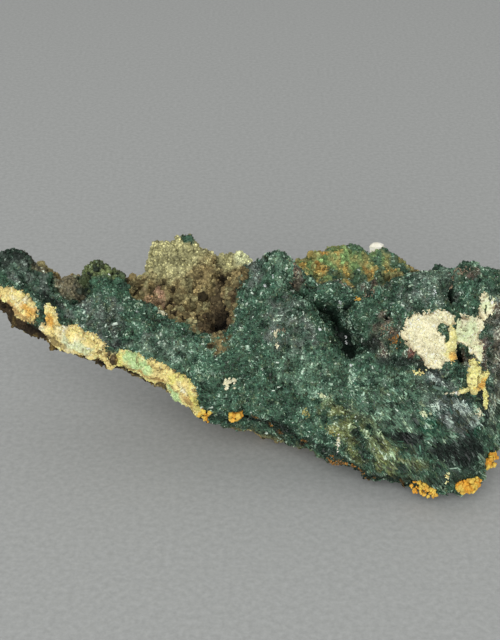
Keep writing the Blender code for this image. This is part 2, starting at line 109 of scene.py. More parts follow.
# Knobs and pits as (x, y, z), the radius of each and how far it rises or sinks, in millimetres.
KNOBS = [
    ((-26.2, 4.2, 23.4), 2.8, 1.1), ((-23.6, 5.0, 22.4), 2.4, 0.6), ((-28.6, 5.2, 21.6), 2.7, 0.9),
    ((-21.6, 3.8, 21.0), 1.8, 0.7), ((-20.0, 4.6, 20.6), 1.8, 0.7), ((-17.4, 4.2, 22.2), 2.5, 0.7),
    ((-15.0, 4.0, 22.0), 2.2, 0.6), ((-11.4, 14.6, 19.0), 3.0, 0.9), ((-7.2, 15.6, 20.6), 2.7, 1.0),
    ((-9.6, 12.0, 18.6), 3.3, 0.8), ((-4.8, 11.6, 17.2), 3.0, 0.8), ((-1.0, 13.8, 18.6), 2.2, 0.9),
    ((2.6, 4.2, 23.8), 2.2, 0.8), ((-0.4, 3.6, 22.4), 2.7, 0.7), ((7.6, 13.6, 19.2), 3.6, 0.9),
    ((11.6, 13.8, 19.6), 3.9, 0.9), ((16.4, 13.4, 18.8), 3.0, 0.7), ((19.6, 4.0, 22.2), 3.9, 0.8),
    ((25.4, 4.4, 22.6), 4.2, 0.4), ((22.0, -8.6, 4.6), 5.1, 0.7), ((14.6, -7.6, 6.0), 4.8, 0.6),
    ((3.0, -3.4, 12.6), 7.5, 0.7), ((-2.0, 17.0, 12.0), 5.4, 0.9), ((8.0, 17.0, 13.6), 6.0, 1.0),
    ((19.0, 15.0, 12.6), 5.4, 0.9), ((26.6, 10.0, 13.4), 4.8, 0.8), ((13.0, 16.4, 6.0), 5.4, 0.9),
]
PITS = [
    ((-19.6, 2.6, 20.2), 2.1, 1.5), ((-18.4, 2.2, 19.4), 2.0, 1.3), ((-3.3, 0.8, 16.8), 2.4, 1.3),
    ((5.2, 2.6, 20.6), 2.2, 1.8), ((8.4, 1.6, 19.0), 2.5, 2.2), ((9.6, 0.8, 17.6), 2.8, 3.0),
    ((11.2, -0.6, 15.4), 2.7, 2.8), ((12.8, 2.0, 19.6), 1.7, 1.1), ((22.2, 2.4, 20.0), 2.0, 1.4),
    ((22.6, 1.4, 18.4), 1.8, 1.2), ((23.4, -1.8, 14.4), 2.0, 1.2), ((27.4, -2.2, 9.4), 3.6, 1.2),
    ((-6.0, 7.2, 15.6), 3.0, 0.9), ((-10.4, 7.0, 16.2), 2.7, 0.8), ((-12.6, 15.0, 13.0), 3.6, 1.0),
    ((3.0, 16.6, 8.0), 3.9, 1.2), ((22.4, 13.0, 15.0), 3.3, 1.0), ((-20.0, 9.6, 16.0), 3.0, 0.9),
]

# Where the finished rock lies inside its solid, given in the same way.
THIN_SKIN = [
    ((-12.5, 12.7, 17.8), 2.8, 1.1), ((-11.9, 13.4, 19.2), 2.4, 0.6), ((-9.8, 14.2, 20.6), 2.4, 0.4),
    ((-5.6, 14.9, 20.0), 1.9, 0.9), ((-15.2, 3.1, 21.9), 1.7, 0.9), ((6.1, 12.5, 18.8), 2.4, 0.9),
    ((19.0, 11.9, 18.4), 2.2, 0.9),
]

# The relief that the solid has too: the size of its waves and how high they are, in millimetres. Then how
# far the rings are drawn in to make room for it, how much of a ring its outward direction is blurred over,
# and how far to either side a line is read.
BROAD_WAVE, BROAD_HEIGHT = 6.5, 0.55
ROUGH_WAVE, ROUGH_HEIGHT = 2.6, 0.85
LUMP_SIZE, LUMP_HEIGHT, LUMP_MEAN = 2.4, 1.1, 0.75
INSET, SOFTENING, LINE_REACH = 0.5, 0.03, 0.6

# The places of the lines round a ring, and the seats sunk under the crusts and grains: each is the middle x,
# the middle place, the half length in millimetres, the half width in lines and the rise in millimetres. Then
# how deep a seat is sunk, how steeply its floor falls and how far outside its oval it begins.
FOOT, FACE, TOP, REAR = 0, 1, 2, 4
SEATS = {
    "yellow_crust_tip": (-26.6, FOOT + 0.56, 3.3, 0.46, 0.8),
    "yellow_crust_arm": (-19.4, FOOT + 0.26, 3.5, 0.46, 0.8),
    "yellow_crust_edge": (-9.9, FOOT + 0.16, 4.0, 0.40, 0.9),
    "cream_crust": (19.3, FACE + 0.38, 2.7, 0.23, 0.6),
    "cream_crust_side": (24.6, FACE + 0.46, 2.3, 0.15, 0.5),
    "yellow_crust_right": (24.2, FACE - 0.04, 1.2, 0.14, 0.6),
    "ochre_grain_1": (-4.9, FOOT + 0.04, 0.8, 0.09, 0.7),
    "ochre_grain_2": (-1.5, FOOT + 0.06, 0.8, 0.09, 0.8),
    "ochre_grain_3": (19.0, FOOT + 0.02, 1.5, 0.09, 0.6),
    "ochre_grain_4": (23.4, FOOT + 0.12, 1.2, 0.11, 0.9),
    "ochre_grain_5": (26.5, FOOT + 0.04, 0.8, 0.10, 0.8),
    "cream_grain": (-2.2, FOOT + 0.72, 0.8, 0.09, 0.6),
    "white_crystal": (14.7, REAR - 0.15, 0.8, 0.10, 1.0),
}
SEAT_DEPTH, SEAT_SLOPE, SEAT_MARGIN = 0.6, 1.2, 0.6

# The fine grid: the rings between the rounded ends and over each end, and the points from line to line.
FINE_STATIONS, FINE_CAPS = 292, 9
FINE_STEPS = (52, 52, 30, 36, 40, 34, 36, 36)

# The shuffled row and the slopes that the noise is looked up in, and what brings it to about -1 to 1.
NOISE_GAIN = 1.6
draw = np.random.default_rng(7)
ORDER = draw.permutation(256)
SLOPES = draw.normal(size=(256, 3))
SLOPES /= np.linalg.norm(SLOPES, axis=1, keepdims=True)


def hashed(corner):
    """A number from 0 to 255 for each lattice corner, by looking its three indices up in one shuffled row."""
    x, y, z = np.moveaxis(corner, -1, 0)
    return ORDER[(z + ORDER[(y + ORDER[x % 256]) % 256]) % 256]


def soft_noise(points, wave):
    """Gradient noise, about -1 to 1: a point blends the slopes of its cell's eight corners."""
    scaled = points / wave
    corner = np.floor(scaled).astype(int)
    part = scaled - corner
    blend = part**3 * (part * (part * 6 - 15) + 10)
    total = np.zeros(points.shape[:-1])
    for step in itertools.product((0, 1), repeat=3):
        weight = np.where(step, blend, 1 - blend).prod(axis=-1)
        total += weight * (SLOPES[hashed(corner + step)] * (part - step)).sum(axis=-1)
    return total * NOISE_GAIN


def lumps(points, size):
    """Rounded lumps from 0 to 1: 1 less the squared distance to the nearest seed, of one in each cell."""
    scaled = points / size
    corner = np.floor(scaled).astype(int)
    nearest = np.full(points.shape[:-1], 9.0)
    for step in itertools.product((-1, 0, 1), repeat=3):
        cell = corner + step
        seed = cell + 0.5 + 0.4 * SLOPES[hashed(cell)]
        nearest = np.minimum(nearest, ((scaled - seed) ** 2).sum(axis=-1))
    return np.clip(1 - nearest, 0, 1)


def on_line(line, x):
    """The line's y and z at each x: straight between its points, read at three near places and averaged."""
    along, y, z = np.array(line, float).T
    reads = [
        np.stack([np.interp(x + step, along, y), np.interp(x + step, along, z)], axis=-1)
        for step in (-LINE_REACH, 0, LINE_REACH)
    ]
    return sum(reads) / len(reads)


def fine_stations():
    """Where along X the rings stand: evenly between the rounded ends, and by a turn's cosine over them."""
    turn = np.linspace(0, np.pi / 2, FINE_CAPS + 1)[1:]
    left = LEFT_END + LEFT_ROUNDING * (1 - np.cos(turn))
    right = RIGHT_END - RIGHT_ROUNDING * (1 - np.cos(turn))[::-1]
    return np.concatenate([left[:-1], np.linspace(left[-1], right[0], FINE_STATIONS), right[1:]])


def through_lines(corners, places):
    """A closed curve through the eight lines of each ring: cubic spans, with tangents no longer than each."""
    slope = (np.roll(corners, -1, axis=1) - np.roll(corners, 1, axis=1)) / 2
    first = places.astype(int)
    after = (first + 1) % len(LINES)
    start, end = corners[:, first], corners[:, after]
    span = np.linalg.norm(end - start, axis=-1, keepdims=True)
    leave, arrive = (
        slope[:, at] * np.minimum(1, span / np.linalg.norm(slope[:, at], axis=-1, keepdims=True))
        for at in (first, after)
    )
    t = (places - first)[None, :, None]
    bend = 3 * (end - start) - 2 * leave - arrive
    twist = 2 * (start - end) + leave + arrive
    return start + t * leave + t**2 * bend + t**3 * twist


def rounded_ends(x):
    """How much of its full size a ring keeps: a quarter circle's rise over the rounding at either end."""
    left = np.clip((x - LEFT_END) / LEFT_ROUNDING, 0, 1)
    right = np.clip((RIGHT_END - x) / RIGHT_ROUNDING, 0, 1)
    return np.sqrt(1 - (1 - left) ** 2) * np.sqrt(1 - (1 - right) ** 2)


def bare_form(x, places):
    """The rock with no relief: a ring through the lines at each station, drawn in towards its middle."""
    corners = np.stack([on_line(line, x) for line in LINES], axis=1)
    ring = through_lines(corners, places)
    middle = ring.mean(axis=1, keepdims=True)
    spoke = ring - middle
    spoke *= 1 - INSET / np.linalg.norm(spoke, axis=-1, keepdims=True)
    ring = middle + spoke * rounded_ends(x)[:, None, None]
    return np.concatenate([np.repeat(x[:, None, None], len(places), axis=1), ring], axis=-1)


def outward(grid, x, softening):
    """The outward normal of a grid of rings: the cross of its two steps, blurred round the ring."""
    along = np.gradient(grid, x, axis=0)
    across = np.roll(grid, -1, axis=1) - np.roll(grid, 1, axis=1)
    normal = np.cross(along, across)
    normal /= np.linalg.norm(normal, axis=-1, keepdims=True)
    waves = np.fft.rfft(normal, axis=1)
    softened = np.exp(-2 * (np.pi * softening * np.arange(waves.shape[1])) ** 2)
    normal = np.fft.irfft(waves * softened[:, None], n=normal.shape[1], axis=1)
    return normal / np.linalg.norm(normal, axis=-1, keepdims=True)


def bells(grid, group):
    """The height of a group of bells, each centred where the surface comes nearest to its point.

    A bell is its size times the square of 1 less the squared distance over the squared reach.
    """
    height = np.zeros(grid.shape[:-1])
    for near, reach, size in group:
        nearest = ((grid - near) ** 2).sum(axis=-1).argmin()
        centre = grid.reshape(-1, 3)[nearest]
        far = ((grid - centre) ** 2).sum(axis=-1) / reach**2
        height += size * np.clip(1 - far, 0, 1) ** 2
    return height


def around(places, place):
    """How far each place is from the given one, counted in lines the shorter way round the ring."""
    return (places - place + len(LINES) / 2) % len(LINES) - len(LINES) / 2


def knobbliness(x, places):
    """How lumpy the surface is: little on the green front, more on the back and on top of the arm."""
    on_front = np.exp(-((around(places, FACE - 0.1) / 1.1) ** 2))
    on_top = np.exp(-((around(places, TOP + 0.3) / 0.9) ** 2))
    on_arm = np.clip((-11 - x) / 4, 0, 1)
    return np.clip(1 - 0.85 * on_front[None, :] + on_top[None, :] * on_arm[:, None], 0, 1)


def inside(oval, at_x, at_place):
    """How far inside an oval each point is: 1 at its middle, 0 on its edge, less outside.

    An oval is its middle x, its middle place, its half length in millimetres and its half width in lines.
    """
    middle, level, half_length, half_width = oval
    return 1 - ((at_x - middle) / half_length) ** 2 - (around(at_place, level) / half_width) ** 2


def ramp(value, low, high):
    """0 below low, 1 above high and an S-shaped rise between."""
    t = np.clip((value - low) / (high - low), 0, 1)
    return t * t * (3 - 2 * t)


x = fine_stations()
places = np.concatenate([line + np.arange(steps) / steps for line, steps in enumerate(FINE_STEPS)])
bare = bare_form(x, places)
lumpy = knobbliness(x, places)
station = x[:, None] * np.ones(bare.shape[:2])
place = places[None, :] * np.ones(bare.shape[:2])
seats = [SEAT_SLOPE * inside(one[:4], station, place) + SEAT_MARGIN for one in SEATS.values()]
seat = np.clip(sum(np.clip(one, 0, 1) for one in seats), 0, 1)
patch, mottle, close = (soft_noise(bare, wave) for wave in (3.4, 1.3, 0.7))


def blots(ovals, rag):
    """How much a group of ovals covers each point: the most of them, with edges made ragged by noise."""
    ragged = rag * (0.7 * mottle + 0.5 * patch + 0.4 * close)
    cover = np.zeros(station.shape)
    for oval in ovals:
        cover = np.maximum(cover, ramp(inside(oval, station, place) + ragged, -0.2, 0.5))
    return cover


def spread(cover, groups):
    """A cover raised to groups of blots in turn. Each is how strong it is, how ragged, and its ovals."""
    for strength, rag, ovals in groups:
        cover = np.maximum(cover, strength * blots(ovals, rag))
    return cover


# The green reaches up to a line round the rock that rises and falls along X, and a little way under the
# front foot. Its edges are ragged, and more so in lines where the lines run together at the thick end. Then
# come the patches beyond it: how strong, how ragged, and the ovals.
GREEN_TOP = (
    (-31, 3.3), (-15, 3.0), (-12.8, 2.6), (-11.5, 2.35), (-7.5, 2.25), (-5.4, 1.9), (-4.4, 1.68), (-3.2, 1.5),
    (-2.1, 1.55), (-1.3, 1.85), (-0.4, 2.25), (1.2, 2.6), (4, 2.7), (8, 2.85), (14, 2.85), (17, 3.15),
    (19, 3.6), (32, 3.4),
)
GREEN_PATCHES = (
    (0.85, 2.1, ((13, 3.85, 1.8, 0.25), (15.8, 3.7, 2.3, 0.4), (9, 3.95, 1.2, 0.15), (12.5, 3.2, 4, 0.2))),
    (1.0, 0.2, ((-7.4, 3.95, 0.9, 0.14),)),
    (0.9, 1.9, ((4, 5.0, 5, 0.5), (20, 4.9, 6, 0.6), (-18, 5.1, 5, 0.5), (-4, 5.6, 3, 0.4))),
)
green_top = np.interp(x, *np.array(GREEN_TOP).T)[:, None]
drawn_together = 1 + 3 * ramp(station, 27, 30.5)
ragged = (0.25 * patch + 0.38 * mottle + 0.34 * close) * drawn_together
green = ramp(green_top - place + ragged, -0.1, 0.12)
green = np.maximum(green, ramp(place + 0.15 * mottle * drawn_together, 7.35, 7.6))
under_arm = ramp(-7 - station, 0, 3) * ramp(0.62 - np.abs(around(place, 7.75)) + 0.15 * mottle, -0.1, 0.1)
green = spread(green * (1 - under_arm), GREEN_PATCHES)

# Narrow clefts with steep sides, as (x, place, half length, half width), and how deep they go.
CLEFTS = [
    (8.0, 1.80, 0.7, 0.10), (9.2, 1.83, 0.7, 0.08), (9.7, 1.68, 0.5, 0.10), (9.9, 1.54, 0.5, 0.09),
    (10.5, 1.44, 0.9, 0.10), (11.0, 1.30, 1.1, 0.13), (6.0, 1.88, 0.8, 0.15), (-3.9, 2.35, 1.1, 0.24),
    (-3.5, 2.02, 0.9, 0.2), (-19.5, 1.5, 0.5, 0.25), (-19.0, 1.93, 0.8, 0.25), (-18.0, 1.88, 0.5, 0.14),
    (22.5, 1.30, 0.4, 0.13), (23.0, 1.20, 0.6, 0.08), (15.1, 1.63, 0.35, 0.04), (13.2, 2.12, 0.4, 0.15),
    (22.3, 1.9, 0.45, 0.22), (10.9, 1.81, 0.6, 0.07), (-24.6, 0.95, 0.5, 0.1), (2.0, 2.02, 0.25, 0.12),
]
CLEFT_DEPTH = 2.0
cleft = blots(CLEFTS, 0.7)
arm_top = ramp(-12 - station, 0, 2) * ramp(place, 1.4, 1.9) * ramp(4.2 - place, 0, 0.6)
beads = lumps(bare + 0.5 * soft_noise(bare, 1.7)[..., None], 0.95)
pocket = ramp(-mottle - 1.1 * close, 0.2, 1.0)

height = BROAD_HEIGHT * soft_noise(bare, BROAD_WAVE) - CLEFT_DEPTH * cleft
height += ROUGH_HEIGHT * soft_noise(bare, ROUGH_WAVE) * (0.45 + 0.55 * lumpy)
height += LUMP_HEIGHT * (lumps(bare, LUMP_SIZE) - LUMP_MEAN) * lumpy
hollows = bells(bare, KNOBS) - bells(bare, PITS)
height += hollows - bells(bare, THIN_SKIN) - SEAT_DEPTH * seat

# The fine relief on top of that: granules on the lumpy places and a broken, hackly surface on the front,
# which lies a little deeper where the green crystals stand on it.
FELT_DEPTH, FINE_SOFTENING = 0.16, 0.004
granules = 0.65 * (lumps(bare, 1.45) - 0.7) + 0.32 * (lumps(bare, 0.6) - 0.7) + 0.15 * close
hackly = 0.3 * soft_noise(bare, 1.1) + 0.16 * soft_noise(bare, 0.55)
hackly = hackly - 0.5 * np.abs(soft_noise(bare, 1.9)) + 0.12
fine = granules * lumpy + (hackly - 0.3 * pocket) * (1 - 0.4 * lumpy) + 0.55 * (beads - 0.7) * arm_top
height += fine * (1 - 0.6 * seat) - FELT_DEPTH * green
height *= rounded_ends(x)[:, None]
rock_grid = bare + outward(bare, x, SOFTENING) * height[..., None]
rock_grid[..., 2] = np.maximum(rock_grid[..., 2], 0)
rock_normals = outward(rock_grid, x, FINE_SOFTENING)


def layered(colour, *layers):
    """A colour with others laid over it in turn, each by its share from 0 to 1 at each point."""
    colour = np.asarray(colour, float)
    for other, share in layers:
        colour = colour + (np.asarray(other) - colour) * share[..., None]
    return colour


# The host rock: brown in the valley and underneath, olive on the back knob, yellow-green and rusty on the
# mound behind the ridge. Painted shade darkens it in every crevice between its granules, in the gaps and the
# pit of the valley, in the clefts and under the arm.
HOST_BROWN, HOST_OLIVE, DARK_BROWN = (0.185, 0.145, 0.065), (0.390, 0.375, 0.190), (0.050, 0.034, 0.018)
MOUND_OLIVE, MOUND_GREEN, OCHRE_STAIN = (0.290, 0.285, 0.110), (0.160, 0.250, 0.095), (0.460, 0.320, 0.090)
RUSTY, PINKISH, PALE_GREEN_TIP = (0.360, 0.200, 0.055), (0.430, 0.270, 0.175), (0.550, 0.570, 0.330)
MOUND, KNOB = (11.6, 3.75, 7.8, 0.85), ((-9.0, 3.95, 4.6, 0.62), (-2.6, 3.9, 2.6, 0.3))
OCHRE_PATCHES = ((7.6, 3.6, 2.6, 0.6), (10.6, 3.2, 4.0, 0.5), (9.9, 3.75, 1.6, 0.3), (15.2, 3.3, 1.8, 0.25))
# Dark brown rock at the valley's right, with painted shade in its black pit.
DARK_VALLEY = (
    (-4.4, 2.5, 1.8, 0.5), (-8.6, 2.7, 1.6, 0.25), (-3.1, 2.9, 0.9, 0.4), (-3.4, 3.3, 0.8, 0.25),
    (-11.5, 2.6, 1.2, 0.2), (-3.0, 1.75, 0.7, 0.3), (-1.9, 1.9, 0.5, 0.2), (-4.6, 2.1, 1.6, 0.3),
    (-2.6, 2.6, 0.9, 0.4),
)
mound = blots([MOUND], 0.3)
other = soft_noise(bare + 40, 1.1) + 0.6 * soft_noise(bare + 40, 0.5)
ochre = ramp(other, 0.1, 0.6) * blots(OCHRE_PATCHES, 0.6)
stain = ramp(mottle + 0.5 * patch + 0.4 * close, 0.35, 0.8) * ramp(around(place, 6.4) ** 2, 2.2, 0.6) * 0.7
# Painted shade between the granules: dark brown gaps over the valley where a noise is low.
gap_shade = blots([(-7.0, 2.8, 5.5, 0.7)], 0.5) * ramp(-other - 0.5 * close, 0.25, 0.7)
# Painted shade under the arm's foot: the host there is painted nearly dark brown, with the rock's own ochre
# stain over it.
underside = blots([(-19, 7.9, 12, 0.4), (-26, 0.1, 5.5, 0.4)], 1.3)
pinkish = blots([(-11.0, 3.15, 1.4, 0.24), (-12.0, 2.7, 0.8, 0.2)], 1.3)
host = layered(
    HOST_BROWN,
    (HOST_OLIVE, ramp(mottle + 0.6 * close, -0.1, 0.6) * 0.55),
    (HOST_OLIVE, blots(KNOB, 0.4) * 0.9),
    (DARK_BROWN, blots(DARK_VALLEY, 1.0) * 0.88),
    (DARK_BROWN, gap_shade * 0.85),
    (DARK_BROWN, underside * 0.97),
    (OCHRE_STAIN, underside * ramp(other + 0.5 * mottle, 0.1, 0.7) * 0.6),
    (layered(MOUND_OLIVE, (MOUND_GREEN, ramp(-other, -0.2, 0.4))), mound),
    (OCHRE_STAIN, ochre * 0.8),
    (RUSTY, np.maximum(stain, ramp(other - 0.3 * mottle, 0.45, 0.8) * mound * 0.7)),
    (PINKISH, pinkish * (0.35 + 0.6 * ramp(other, -0.3, 0.3))),
    (PALE_GREEN_TIP, blots([(-0.8, 3.85, 1.1, 0.2)], 0.3)),
)
# Painted shade: darker in the fine relief's crevices, lighter on its tops, near black in clefts, darker under
# the foot.
crevice_shade = 0.16 + 1.18 * ramp(fine, -0.44, 0.25)
# Less of this painted shade on the knob and the mound.
crevice_shade += (0.98 - crevice_shade) * 0.65 * blots([*KNOB, MOUND], 0.3)
shaded_foot = blots([(-26, 0.0, 6.0, 0.45), (-17, 7.75, 8.0, 0.3)], 1.0)
host = host * (crevice_shade * (1 - 0.95 * cleft) * (1 - 0.55 * shaded_foot))[..., None]

# The green: bottle green, ashen and purplish in places, blackish over the arm, olive low on the front, with a
# pale grey-blue streak and rusty brown beside the cream crusts. Painted shade makes it near black in the
# hollows, clefts and pockets, between the beads on the arm, below the cream crust and under the front foot.
FLANK_BROWN, TEAL, MOSS = (0.130, 0.085, 0.060), (0.045, 0.140, 0.105), (0.150, 0.165, 0.070)
BOTTLE_GREEN, ASHEN, OLIVE_GREEN = (0.062, 0.136, 0.082), (0.150, 0.170, 0.150), (0.200, 0.215, 0.065)
PALE_BLUE, PALE_GREEN, BROWN_PURPLE = (0.440, 0.510, 0.470), (0.200, 0.330, 0.220), (0.140, 0.075, 0.060)
NEAR_BLACK, ARM_BROWN, RUST_SPOT = (0.012, 0.022, 0.016), (0.215, 0.175, 0.105), (0.400, 0.185, 0.030)
BLUE_BLACK, RICH_GREEN, RED_BROWN = (0.045, 0.060, 0.058), (0.012, 0.085, 0.045), (0.260, 0.110, 0.085)
STRAW_GREY = (0.420, 0.390, 0.310)

# Low on the right of the front the crystals are silky, and run down to the right at one angle to the level.
SILK_FALL, SILK_STRETCH, SILK_WAVE = 0.85, 5.0, 0.45
silk = ramp(station, 8, 16) * ramp(1.2 - place, 0, 0.6) * (place < 4)


def silky(points):
    """Noise in long streaks: its cells are stretched along the silk, and left as they are across it."""
    x, y, z = np.moveaxis(points, -1, 0)
    along = x * math.cos(SILK_FALL) - z * math.sin(SILK_FALL)
    across = x * math.sin(SILK_FALL) + z * math.cos(SILK_FALL)
    return soft_noise(np.stack([along / SILK_STRETCH, y / SILK_STRETCH, across], axis=-1), SILK_WAVE)


# Where the green is blackish: how strong, how ragged, and the ovals. The second group is painted shade below
# the cream crust and the fourth painted shade under the front foot.
DARK_PATCHES = (
    (1.0, 0.8, ((22.8, 0.43, 3.6, 0.12), (25.2, 0.75, 0.6, 0.3), (16.5, 0.52, 2.0, 0.06))),
    (0.9, 1.3, ((16.0, 1.18, 2.6, 0.06), (19.0, 1.11, 1.3, 0.04), (13.2, 1.33, 1.2, 0.12))),
    (0.8, 1.0, ((-26.4, 2.2, 2.4, 0.5), (-22.4, 1.2, 2.0, 0.25), (-21.6, 0.9, 1.2, 0.3))),
    (0.85, 0.8, ((2, 7.95, 7, 0.15), (11, 7.95, 7, 0.15), (-19, 0.0, 7, 0.12))),
    (0.75, 1.6, ((21.8, 0.22, 3.2, 0.13), (17.8, 0.1, 2.6, 0.07), (23.6, 0.36, 1.6, 0.1))),
)
ASHEN_PATCHES = (
    (-17.2, 1.1, 4.0, 0.5), (-24.6, 1.6, 2.8, 0.5), (-9.5, 1.2, 3.0, 0.3), (4.4, 1.35, 2.8, 0.3),
    (0.2, 2.0, 1.6, 0.3), (20.5, 0.95, 2.2, 0.2), (20.0, 1.9, 3.0, 0.3),
)
PALE_PATCHES = (
    (-9.5, 1.0, 3.4, 0.4), (-8.0, 1.4, 2.4, 0.35), (4.4, 1.9, 2.6, 0.3), (15.6, 0.8, 3.6, 0.3),
    (22, 2.2, 5, 0.3), (7, 0.9, 4, 0.3),
)
# Purplish brown; the second and third ovals, at the cream crust's lower left, are painted shadow under its
# edge.
PURPLISH_PATCHES = (
    (14.6, 1.42, 2.2, 0.25), (17.2, 1.27, 0.9, 0.06), (18.5, 1.17, 0.9, 0.05), (23.9, 1.15, 1.4, 0.14),
    (12.6, 2.3, 3.0, 0.2), (5.4, 2.05, 1.0, 0.08), (24.6, 2.0, 1.4, 0.12),
)
streak = silky(bare)
broken = np.clip(0.55 + 0.9 * close + 0.5 * mottle, 0, 1)
# Painted shade: near black in the relief's pits, clefts and pockets and between the beads on the arm.
hollow_shade = ramp(-hollows + 0.6 * mottle + 0.6 * close, 1.0, 2.0) * 0.7
dark = np.maximum(hollow_shade, np.maximum(cleft, 0.7 * pocket))
# Less painted shade on the slope above the slot.
dark *= 1 - 0.75 * blots([(7.2, 1.98, 1.1, 0.13), (8.8, 1.6, 0.5, 0.08)], 0.5)
dark = np.maximum(spread(dark, DARK_PATCHES), arm_top * ramp(0.62 - beads, 0, 0.3) * 0.95)
olive = blots([(12.8, 0.34, 4.2, 0.24), (9.0, 0.5, 2.0, 0.2), (16.8, 0.22, 3.0, 0.16)], 1.0)
blue = blots([(22.0, 0.76, 2.6, 0.15), (23.4, 0.6, 1.3, 0.14), (20.2, 1.02, 1.2, 0.1)], 0.8)
beside_cream = blots([(24.2, 1.12, 0.9, 0.09), (25.7, 1.12, 0.9, 0.16), (23.5, 1.2, 0.35, 0.1)], 1.3)
rust_line = ramp(close + 0.5 * mottle, 0.5, 0.8) * np.exp(-((around(place, 7.93) / 0.13) ** 2))
flank = ramp(station + 1.6 * mottle + close, 25.2, 27.4) * ramp(place, 0.3, 0.7) * ramp(1.8 - place, 0, 0.3)
flank_colour = layered(
    FLANK_BROWN,
    (ASHEN, ramp(soft_noise(bare * (0.25, 1.6, 0.5), 0.5), -0.3, 0.4)),
    (STRAW_GREY, ramp(soft_noise(bare * (0.3, 1.4, 0.5) + 20, 0.35), 0.1, 0.5)),
)
hue = layered(
    BOTTLE_GREEN,
    (ASHEN, blots(ASHEN_PATCHES, 1.2) * broken * 0.8),
    (OLIVE_GREEN, olive * ramp(0.5 * streak + 0.8 * mottle + 0.6 * close, -0.45, 0.45) * 0.85),
    (OLIVE_GREEN, blots([(-16.6, 2.2, 2.6, 0.4), (-1.0, 2.25, 1.2, 0.15)], 0.5) * 0.6),
    (ARM_BROWN, blots([(-20.8, 2.35, 1.6, 0.6), (-24.4, 2.3, 1.2, 0.35)], 0.6) * 0.85),
    (BLUE_BLACK, blue * 0.8),
    (PALE_BLUE, blue * ramp(streak + 0.3 * mottle, -0.05, 0.5)),
    (PALE_GREEN, blots(PALE_PATCHES, 1.1) * broken * 0.5),
    (PALE_GREEN, silk * ramp(streak, 0.1, 0.6) * 0.6),
    (RICH_GREEN, blots([(19.2, 0.66, 1.2, 0.09), (24.0, 0.53, 1.2, 0.07)], 0.7) * 0.85),
    (BROWN_PURPLE, 0.8 * blots(PURPLISH_PATCHES, 1.2) * broken),
    (FLANK_BROWN, 0.85 * beside_cream),
    (RED_BROWN, blots([(25.5, 1.2, 0.4, 0.08), (17.4, 1.26, 0.5, 0.05)], 1.0) * 0.8),
    (flank_colour, flank * 0.9),
    (NEAR_BLACK, np.clip(dark, 0, 1)),
    (RUST_SPOT, rust_line * ramp(station, -6, -3) * 0.9),
)
rock_colour = layered(host, (hue * 0.75, green))


def new_mesh(name, points, corners, sizes):
    """A mesh from points in millimetres, its faces' corners one after another and how many each face has."""
    mesh = bpy.data.meshes.new(name)
    mesh.vertices.add(len(points))
    mesh.vertices.foreach_set("co", ((points - ORIGIN) * MM).astype(np.float32).ravel())
    mesh.loops.add(len(corners))
    mesh.loops.foreach_set("vertex_index", corners.astype(np.int32))
    mesh.polygons.add(len(sizes))
    mesh.polygons.foreach_set("loop_start", (np.cumsum(sizes) - sizes).astype(np.int32))
    mesh.update(calc_edges=True)
    return mesh


def paint(mesh, name, values):
    """Writes a colour to each point of a mesh, from an array of red, green and blue or of one value."""
    values = values.reshape(len(mesh.vertices), -1)
    rgba = np.ones((len(values), 4), np.float32)
    rgba[:, :3] = values
    mesh.attributes.new(name, "FLOAT_COLOR", "POINT").data.foreach_set("color", rgba.ravel())


def bake_map(mesh, spots):
    """Writes the bake map: the spot in its square of each corner of each face in turn."""
    mesh.uv_layers.new(name="OFBake").uv.foreach_set("vector", spots.astype(np.float32).ravel())


def add_piece(name, mesh, finish, nodes=(), smooth=False):
    """Puts a mesh in the scene as a piece of the specimen, in the place of the solids named."""
    mesh.polygons.foreach_set("use_smooth", np.full(len(mesh.polygons), smooth))
    mesh.materials.append(finish)
    piece = bpy.data.objects.new(name, mesh)
    bpy.context.scene.collection.objects.link(piece)
    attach(piece, "root")
    if nodes:
        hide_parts(*nodes)


def new_finish(name):
    """A material with its Principled shader, a function that adds a node and one that joins two sockets."""
    material = bpy.data.materials.new(name)
    material.use_nodes = True
    tree = material.node_tree

    def add(kind, **settings):
        node = tree.nodes.new(kind)
        for key, value in settings.items():
            if key in node.inputs:
                node.inputs[key].default_value = value
            else:
                setattr(node, key, value)
        return node

    return material, tree.nodes["Principled BSDF"], add, tree.links.new


def noise_on(add, join, scale, detail, roughness):
    """The height of a noise on the piece's own coordinates, where its scale counts waves in a metre."""
    spot = add("ShaderNodeTexCoord")
    noise = add("ShaderNodeTexNoise", Scale=scale, Detail=detail, Roughness=roughness)
    join(spot.outputs["Object"], noise.inputs["Vector"])
    return noise.outputs["Fac"]


def shaded_by(add, join, colour, height, low, high, darkest, lightest):
    """A colour times a factor that goes from darkest to lightest as the height goes from low to high."""
    reach = {"From Min": low, "From Max": high, "To Min": darkest, "To Max": lightest}
    factor = add("ShaderNodeMapRange", **reach)
    join(height, factor.inputs["Value"])
    product = add("ShaderNodeMix", data_type="RGBA", blend_type="MULTIPLY")
    product.inputs["Factor"].default_value = 1.0
    join(colour, product.inputs["A"])
    join(factor.outputs["Result"], product.inputs["B"])
    return product.outputs["Result"]


def pitted_by(add, join, shader, height, strength, depth):
    """Makes the shader's surface rough in the light by a height, as deep as the depth in metres."""
    bump = add("ShaderNodeBump", Strength=strength, Distance=depth)
    join(height, bump.inputs["Height"])
    join(bump.outputs["Normal"], shader.inputs["Normal"])


